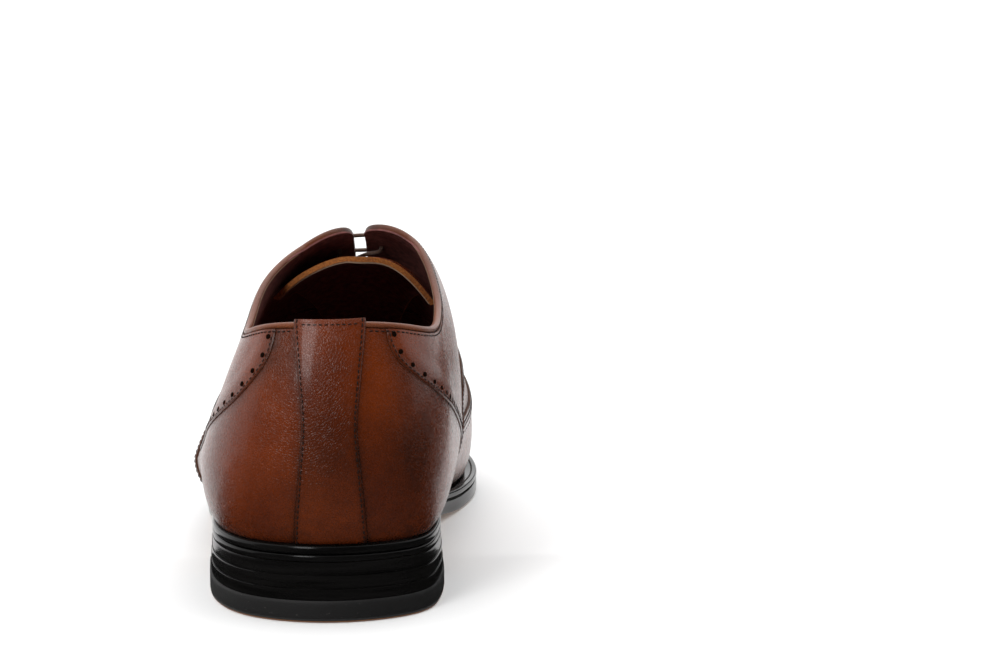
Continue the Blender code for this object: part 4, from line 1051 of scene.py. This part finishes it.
def tonguePieces():
    q, v, depth = tongueGrid(0.0)
    body = sheetPiece("tongueLeather", eased(skin(q, v, depth - 0.2)),
                      eased(skin(q, v, depth + tongueShape["thick"] - 0.2)),
                      [upperLeather, suedeEdge, suedeEdge], np.full(q.shape, 0.35))
    q, v, depth = tongueGrid(0.5)
    depth = depth + tongueShape["thick"] - 0.15
    lining = sheetPiece("tongueLining", eased(skin(q, v, depth)),
                        eased(skin(q, v, depth + tongueShape["lining"])),
                        [liningLeather, liningLeather, creamLine])
    return body, lining


tongueBody, tongueLining = tonguePieces()
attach(tongueBody, "tongue")
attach(tongueLining, "tongue")
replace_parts(tongueBody, "tongue")
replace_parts(tongueLining, "tongue_lining")
print("tongue made")


# Lace: rows of eyelets by y, their share from the ridge, and depths of the cord over and under the facings.
laceShape = {
    "rows": (120, 130, 140, 150.5, 161), "in": 0.070, "radius": 0.7, "over": -1.2, "under": 4.35,
    "aglet": 10.0, "colour": (0.045, 0.020, 0.012),
}


def eyeletSpots(side):
    return [(side * float(stationAt(y)), 1 - laceShape["in"]) for y in laceShape["rows"]]


def laceEnd(spot, along):
    q, v = spot
    side = math.copysign(1, q)
    return [skin(side * (abs(q) + along * t), v - 0.08 * t, laceShape["under"] + 0.1 + 0.9 * t - 0.35 * t * t)
            for t in (1.0, 0.8, 0.6, 0.4, 0.2)]


def laceRoute():
    under, over, half = laceShape["under"], laceShape["over"], laceShape["in"]
    rows = list(zip(eyeletSpots(-1), eyeletSpots(1)))[::-1]
    points = laceEnd(rows[0][1], -0.05)
    for i, (lateral, medial) in enumerate(rows):
        points += [skin(*medial, under), skin(*medial, 1.6), skin(*medial, over)]
        for share in (0.05, 0.0, -0.05):
            q = math.copysign(medial[0], 1 if share >= 0 else -1)
            points.append(skin(q, 1 - abs(share), over + (0.5 if share == 0 else 0.0)))
        points += [skin(*lateral, over), skin(*lateral, 1.6), skin(*lateral, under)]
        if i + 1 < len(rows):
            after = rows[i + 1][1]
            for t in (0.25, 0.5, 0.75):
                share = -half + 2 * half * t
                station = abs(lateral[0]) + (abs(after[0]) - abs(lateral[0])) * t
                points.append(skin(math.copysign(station, share), 1 - abs(share), under + 0.35))
    return np.array(points + laceEnd(rows[-1][0], 0.045)[::-1])


def frames(line):
    ahead = np.gradient(line, axis=0)
    ahead /= np.linalg.norm(ahead, axis=1, keepdims=True)
    side = np.cross(ahead, (0.3, 0.2, 0.93))
    side /= np.linalg.norm(side, axis=1, keepdims=True)
    return ahead, side, np.cross(ahead, side)


def laceMaterial():
    made, shader, start = newMaterial("waxed cotton", Roughness=0.55, Sheen_Weight=0.3)
    weave = start.node("ShaderNodeTexVoronoi", {"Vector": objectPlace(start), "Scale": 3.2})
    link(weave.clamp(0.0, 0.7).mix(laceShape["colour"], (0.12, 0.055, 0.030)), shader.inputs["Base Color"])
    raised(start, weave * 0.0002, shader)
    return made


waxed = laceMaterial()


def lacePieces():
    route = laceRoute()
    length = np.append(0, np.cumsum(np.linalg.norm(np.diff(route, axis=0), axis=1)))
    line = Spline(length, route)(np.linspace(0, length[-1], int(length[-1] / 0.6)))
    ahead, side, other = frames(line)
    angles = np.linspace(0, 2 * math.pi, 12, endpoint=False)
    circle = side[:, None] * np.cos(angles)[None, :, None] + other[:, None] * np.sin(angles)[None, :, None]
    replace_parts(tubePiece("laceCord", line[:, None] + circle * laceShape["radius"], [waxed]), "lace")
    tips = (line[0], -ahead[0], circle[0]), (line[-1], ahead[-1], circle[-1])
    for i, (end, way, ring) in enumerate(tips):
        rings = np.array([end + way * (0.3 + laceShape["aglet"] * t) + ring * r
                          for t, r in ((0, 0.55), (0.01, 0.75), (0.3, 0.78), (0.95, 0.68), (1.0, 0.45))])
        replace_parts(tubePiece(f"laceTip.{i + 1}", rings, [waxed]), f"aglet_{i + 1}")


lacePieces()
print("lace made")


def nodeTree(name, build):
    tree = bpy.data.node_groups.new(name, "GeometryNodeTree")
    tree.interface.new_socket("Geometry", in_out="INPUT", socket_type="NodeSocketGeometry")
    tree.interface.new_socket("Geometry", in_out="OUTPUT", socket_type="NodeSocketGeometry")
    build(tree, tree.nodes.new("NodeGroupInput"), tree.nodes.new("NodeGroupOutput"))
    return tree


def addInput(tree, name, kind, default):
    made = tree.interface.new_socket(name, in_out="INPUT", socket_type=kind)
    if default is not None:
        made.default_value = default


def join(tree, *pairs):
    for start, end in pairs:
        tree.links.new(start, end)


def buildStitches(tree, start, end):
    for name, value in (("Pitch", 0.0026), ("Length", 0.0021), ("Thickness", 0.0005), ("Slant", 0.12)):
        addInput(tree, name, "NodeSocketFloat", value)
    addInput(tree, "Seed", "NodeSocketInt", 7)
    addInput(tree, "Thread", "NodeSocketMaterial", None)
    new = tree.nodes.new
    curve, sample = new("GeometryNodeMeshToCurve"), new("GeometryNodeResampleCurve")
    sample.mode = "LENGTH"
    tangent, align = new("GeometryNodeInputTangent"), new("FunctionNodeAlignRotationToVector")
    facing = new("GeometryNodeInputNamedAttribute")
    facing.data_type = "FLOAT_VECTOR"
    facing.inputs["Name"].default_value = "facing"
    alignUp = new("FunctionNodeAlignRotationToVector")
    align.axis, alignUp.axis, alignUp.pivot_axis = "X", "Z", "X"
    turn, turned = new("FunctionNodeRandomValue"), new("FunctionNodeRotateRotation")
    turned.rotation_space = "LOCAL"
    spin, negative = new("ShaderNodeCombineXYZ"), new("ShaderNodeMath")
    negative.operation = "MULTIPLY"
    negative.inputs[1].default_value = -1.0
    ball, shape = new("GeometryNodeMeshUVSphere"), new("GeometryNodeTransform")
    size = new("ShaderNodeCombineXYZ")
    ball.inputs["Segments"].default_value, ball.inputs["Rings"].default_value = 8, 6
    ball.inputs["Radius"].default_value = 0.5
    put, real = new("GeometryNodeInstanceOnPoints"), new("GeometryNodeRealizeInstances")
    paint = new("GeometryNodeSetMaterial")
    join(tree, (start.outputs["Geometry"], curve.inputs["Mesh"]),
         (curve.outputs["Curve"], sample.inputs["Curve"]),
         (start.outputs["Pitch"], sample.inputs["Length"]), (sample.outputs["Curve"], put.inputs["Points"]),
         (tangent.outputs[0], align.inputs["Vector"]), (align.outputs[0], alignUp.inputs["Rotation"]),
         (facing.outputs["Attribute"], alignUp.inputs["Vector"]),
         (alignUp.outputs[0], turned.inputs["Rotation"]),
         (start.outputs["Slant"], negative.inputs[0]), (negative.outputs[0], turn.inputs[2]),
         (start.outputs["Slant"], turn.inputs[3]), (start.outputs["Seed"], turn.inputs["Seed"]),
         (turn.outputs[1], spin.inputs["Z"]), (turned.outputs[0], put.inputs["Rotation"]),
         (start.outputs["Length"], size.inputs["X"]), (start.outputs["Thickness"], size.inputs["Y"]),
         (start.outputs["Thickness"], size.inputs["Z"]), (ball.outputs["Mesh"], shape.inputs["Geometry"]),
         (size.outputs[0], shape.inputs["Scale"]), (shape.outputs[0], put.inputs["Instance"]),
         (put.outputs[0], real.inputs[0]), (real.outputs[0], paint.inputs["Geometry"]),
         (start.outputs["Thread"], paint.inputs["Material"]), (paint.outputs[0], end.inputs[0]))
    euler = new("FunctionNodeEulerToRotation")
    join(tree, (spin.outputs[0], euler.inputs[0]), (euler.outputs[0], turned.inputs["Rotate By"]))


def buildHoles(tree, start, end):
    # puts flat dark discs on the points: painted shade standing in for holes that are not cut
    addInput(tree, "Radius", "NodeSocketFloat", 0.0009)
    addInput(tree, "Uneven", "NodeSocketFloat", 0.06)
    addInput(tree, "Seed", "NodeSocketInt", 3)
    addInput(tree, "Dark", "NodeSocketMaterial", None)
    new = tree.nodes.new
    facing, align = new("GeometryNodeInputNamedAttribute"), new("FunctionNodeAlignRotationToVector")
    facing.data_type, align.axis = "FLOAT_VECTOR", "Z"
    facing.inputs["Name"].default_value = "facing"
    disc, size = new("GeometryNodeMeshCylinder"), new("FunctionNodeRandomValue")
    disc.inputs["Vertices"].default_value, disc.inputs["Depth"].default_value = 20, 0.0001
    less, more = new("ShaderNodeMath"), new("ShaderNodeMath")
    less.operation, more.operation = "SUBTRACT", "ADD"
    less.inputs[0].default_value = more.inputs[0].default_value = 1.0
    put, real = new("GeometryNodeInstanceOnPoints"), new("GeometryNodeRealizeInstances")
    paint = new("GeometryNodeSetMaterial")
    join(tree, (start.outputs["Geometry"], put.inputs["Points"]),
         (start.outputs["Radius"], disc.inputs["Radius"]),
         (facing.outputs["Attribute"], align.inputs["Vector"]), (align.outputs[0], put.inputs["Rotation"]),
         (disc.outputs["Mesh"], put.inputs["Instance"]), (start.outputs["Uneven"], less.inputs[1]),
         (start.outputs["Uneven"], more.inputs[1]), (less.outputs[0], size.inputs[2]),
         (more.outputs[0], size.inputs[3]),
         (start.outputs["Seed"], size.inputs["Seed"]), (size.outputs[1], put.inputs["Scale"]),
         (put.outputs[0], real.inputs[0]), (real.outputs[0], paint.inputs["Geometry"]),
         (start.outputs["Dark"], paint.inputs["Material"]), (paint.outputs[0], end.inputs[0]))


stitchNodes = nodeTree("stitch rows", buildStitches)
holeNodes = nodeTree("perforations", buildHoles)


def guideObject(name, points, edges, facings):
    mesh = bpy.data.meshes.new(name)
    mesh.from_pydata(points, edges, [])
    layer = mesh.attributes.new("facing", "FLOAT_VECTOR", "POINT")
    layer.data.foreach_set("vector", np.array(facings).ravel())
    obj = bpy.data.objects.new(name, mesh)
    scene.collection.objects.link(obj)
    return obj


def guide(name, lines, joined=True):
    # points on the surface with their outward direction, as chains or loose points
    points, facings, edges = [], [], []
    for q, v, depth in lines:
        if joined:
            edges += [(len(points) + i, len(points) + i + 1) for i in range(len(q) - 1)]
        points += toWorld(skin(q, v, depth)).tolist()
        facings += outward(q, v).tolist()
    return guideObject(name, points, edges, facings)


def grown(obj, tree, **values):
    # runs a node tree on a guide and keeps its result as a plain mesh
    modifier = obj.modifiers.new("grow", "NODES")
    modifier.node_group = tree
    names = {item.name: item.identifier for item in tree.interface.items_tree if item.in_out == "INPUT"}
    for key, value in values.items():
        modifier[names[key]] = value
    graph = bpy.context.evaluated_depsgraph_get()
    made = bpy.data.meshes.new_from_object(obj.evaluated_get(graph))
    obj.modifiers.remove(modifier)
    obj.data = made
    made.shade_smooth()
    return obj


thread = newMaterial("thread", Base_Color=(0.016, 0.007, 0.005, 1), Roughness=0.8, Specular_IOR_Level=0.15)[0]
# near black for the flat discs of painted shade in the perforations and lace holes
holeShade = newMaterial("hole", Base_Color=(0.006, 0.003, 0.002, 1), Roughness=1.0, Specular_IOR_Level=0.0)[0]
proud = seams["proud"]
doubleRow = (1.5, 3.2)  # mm from a lapping edge
finePitch = 0.8         # mm between the points of a line


def along(pairs):
    # even points of a (station, share) line
    length = np.linalg.norm(np.diff(onLast(*pairs.T), axis=0), axis=1).sum()
    return resample(pairs, max(2, int(length / finePitch)))


def sidePairs(curve, side, distance):
    return shifted(along(curve * [side, 1]), side * distance)


def stitchLines():
    lines = []
    v = np.linspace(0.006, float(toplineShare(0.0)) - 0.002, 160)
    half = monotone(v, seams["strapHalf"])
    inset = 1 - 1.0 / 10.0
    for side in (-1, 1):
        pairs = along(np.stack([side * half * inset, v], 1))
        lines.append((*pairs.T, -(proud - 0.02)))
        top = facingLine(side, 0.046)
        keep = top[:, 0] < seams["facingTop"] - 0.010
        row = top[keep] * [side, 1]
        girth = np.interp(row[:, 0], tableStations, lastGirth)
        below = along(np.stack([row[:, 0], row[:, 1] - 0.8 / girth], 1))
        seam = counterSeams[side]
        near = distanceTo(onLast(*below.T), onLast(*(seam * [side, 1]).T))
        lapped = np.abs(below[:, 0]) > seam[0, 0]
        lines.append((*below.T, -0.02 - proud * fade(near, 3.6, 6.0) * lapped))
        seam = seam[(seam[:, 1] < 0.57) & (seam[:, 0] < 0.345)]
        pairs = sidePairs(seam, side, 0.9)
        lines.append((*pairs.T, -(proud - 0.06)))
        start = seams["facingTop"] + 0.004
        station = np.linspace(start, 0.545, 80)
        gap = np.interp(station, [start, 0.575], [seams["facingShare"], seams["throatShare"]])
        for inward in (1.7, 13.5):
            girth = np.interp(side * station, tableStations, lastGirth)
            row = np.stack([side * station, 1 - gap - inward / girth], 1)
            lines.append((*along(row).T, -0.02))
    across = np.stack([np.linspace(-0.029, 0.029, 20), np.full(20, float(toplineShare(0.0)) - 0.012)], 1)
    lines.append((*along(across).T, -(proud + 0.02)))
    shares = np.linspace(0.003, 0.72, 200)
    for name in ("vamp", "wing"):
        for side in (-1, 1):
            pairs = np.stack([side * edgeStation(shares, name), 1 - shares], 1)
            for distance in doubleRow:
                moved = shifted(along(pairs), side * distance)
                dip = vampDip(1 - moved[:, 1]) if name == "vamp" else 1.0
                lines.append((*moved.T, -(seams["vampProud"] * dip - 0.02)))
    low = np.linspace(0.735, 0.985, 80)
    for side in (-1, 1):
        pairs = np.stack([side * edgeStation(low, "vamp"), 1 - low], 1)
        for distance in doubleRow:
            moved = shifted(along(pairs), side * distance)
            lines.append((*moved.T, -(seams["vampProud"] - 0.02)))
    return lines


def stitchPiece():
    lines = [(q, v, np.full(len(q), depth)) for q, v, depth in stitchLines()]
    return grown(guide("stitching", lines), stitchNodes, Pitch=0.00168, Length=0.0013, Thickness=0.00046,
                 Slant=0.14, Seed=7, Thread=thread)


def holePiece():
    # perforations as flat dark discs of painted shade along the counter seams and the wing
    spots = []
    for side in (-1, 1):
        seam = counterSeams[side]
        seam = seam[(seam[:, 1] < 0.573) & (seam[:, 0] < 0.345)]
        row = sidePairs(seam, side, 2.2)
        row = resample(row, int(len(row) * finePitch / 5.3))
        spots.append((*row.T, -(proud + 0.03)))
        shares = np.linspace(0.012, 0.70, 200)
        pairs = np.stack([side * edgeStation(shares, "wing"), 1 - shares], 1)
        row = shifted(along(pairs), side * 6.0)
        row = resample(row, int(len(row) * finePitch / 5.4))
        spots.append((*row.T, -(seams["vampProud"] * 0.62 + 0.03)))
    spots = [(q, v, np.full(len(q), depth)) for q, v, depth in spots]
    return grown(guide("broguing", spots, joined=False), holeNodes, Radius=0.00074, Uneven=0.06, Seed=3,
                 Dark=holeShade)


def weltStitches():
    front = stationAt(soleShape["breast"]) + 0.02
    around = np.concatenate([np.linspace(front, 1, 300), np.linspace(-1, -front, 300)[1:]])
    plan = planEdge(around, reachAt(around) - 1.9)
    points = np.column_stack([plan, weltTop(plan[:, 1]) + 0.03])
    up = np.tile([0.0, 0.0, 1.0], (len(points), 1))
    edges = [(i, i + 1) for i in range(len(points) - 1)]
    obj = guideObject("weltStitching", toWorld(points).tolist(), edges, up)
    welted = newMaterial("welt thread", Base_Color=(0.03, 0.018, 0.012, 1), Roughness=0.6)[0]
    return grown(obj, stitchNodes, Pitch=0.0030, Length=0.0026, Thickness=0.0007, Slant=0.05, Seed=11,
                 Thread=welted)


def eyeletDiscs():
    # the lace holes are flat dark discs of painted shade
    spots = [(np.array([q]), np.array([v]), np.array([-0.03]))
             for side in (-1, 1) for q, v in eyeletSpots(side)]
    return grown(guide("laceHoles", spots, joined=False), holeNodes, Radius=0.0015, Uneven=0.0, Seed=1,
                 Dark=holeShade)


for made in (stitchPiece(), holePiece(), weltStitches(), eyeletDiscs()):
    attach(made, "shoe")
print("stitches and perforations made")

for obj in scene.objects:
    if obj.type == "MESH" and not obj.get("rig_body") and obj.get("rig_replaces") and "tongue" not in obj.name:
        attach(obj, "shoe")


# Studio: a camera low behind the heel, white walls and black flags that keep the heel from mirroring white.
studio = {
    "camera": (23.51, -553.79, 145.9), "pitch": 83.68, "heading": -2.656, "lens": 69.98,
    "world": 1.30, "floor": (0.90, 0.90, 0.90), "floorGlow": 0.08,
}


def softBox(name, place, target, size, power):
    light = bpy.data.lights.new(name, "AREA")
    light.shape, light.size, light.size_y, light.energy = "RECTANGLE", size[0], size[1], power
    obj = bpy.data.objects.new(name, light)
    obj.location = place
    obj.rotation_euler = (Vector(target) - Vector(place)).to_track_quat("-Z", "Y").to_euler()
    scene.collection.objects.link(obj)


blackCloth = newMaterial("black cloth", Base_Color=(0.01, 0.01, 0.01, 1), Roughness=1.0,
                         Specular_IOR_Level=0.0)[0]


def flag(name, place, size, turn, mirroredOnly=True):
    # a black cloth, which keeps the leather from mirroring white
    rotation = [math.radians(angle) for angle in turn]
    bpy.ops.mesh.primitive_plane_add(size=1.0, location=place, rotation=rotation)
    cloth = bpy.context.object
    cloth.name, cloth.scale = name, (*size, 1.0)
    cloth.data.materials.append(blackCloth)
    cloth.visible_camera = False
    if mirroredOnly:
        cloth.visible_diffuse = cloth.visible_shadow = False


def makeStudio():
    scene.view_settings.view_transform = "Standard"
    bpy.ops.mesh.primitive_plane_add(size=12.0, location=(0, 0, -0.0002))
    floor = bpy.context.object
    floor.name = "floor"
    paint = newMaterial("floor", Base_Color=(*studio["floor"], 1), Roughness=0.6, Specular_IOR_Level=0.2,
                        Emission_Color=(1, 1, 1, 1), Emission_Strength=studio["floorGlow"])[0]
    floor.data.materials.append(paint)
    world = bpy.data.worlds.new("studio")
    scene.world = world
    world.use_nodes = True
    world.node_tree.nodes["Background"].inputs["Color"].default_value = (1, 1, 1, 1)
    world.node_tree.nodes["Background"].inputs["Strength"].default_value = studio["world"]
    softBox("key", (-0.55, -1.10, 0.70), (0, -0.15, 0.06), (0.36, 0.5), 6.5)
    softBox("inside box", (-0.22, -0.40, 0.50), (0.02, 0.0, 0.05), (0.12, 0.12), 0.45)
    softBox("top box", (0.0, 0.3, 1.6), (0, 0.0, 0.0), (1.6, 1.6), 9)
    flag("wide flag", (0.0, -1.55, 1.1), (14.0, 2.8), (90, 0, 0), mirroredOnly=False)
    flag("low flag", (0.0, -0.78, 0.001), (3.0, 1.44), (0, 0, 0))
    flag("side flag", (0.17, 0.20, 0.035), (0.80, 0.07), (90, 0, 90))
    lens = bpy.data.cameras.new("camera")
    lens.lens, lens.sensor_width = studio["lens"], 36.0
    lens.clip_start, lens.clip_end = 0.01, 50.0
    camera = bpy.data.objects.new("camera", lens)
    camera.location = toWorld(studio["camera"])
    camera.rotation_euler = Euler((math.radians(studio["pitch"]), 0, math.radians(studio["heading"])))
    scene.collection.objects.link(camera)
    scene.camera = camera


makeStudio()
print("studio ready")
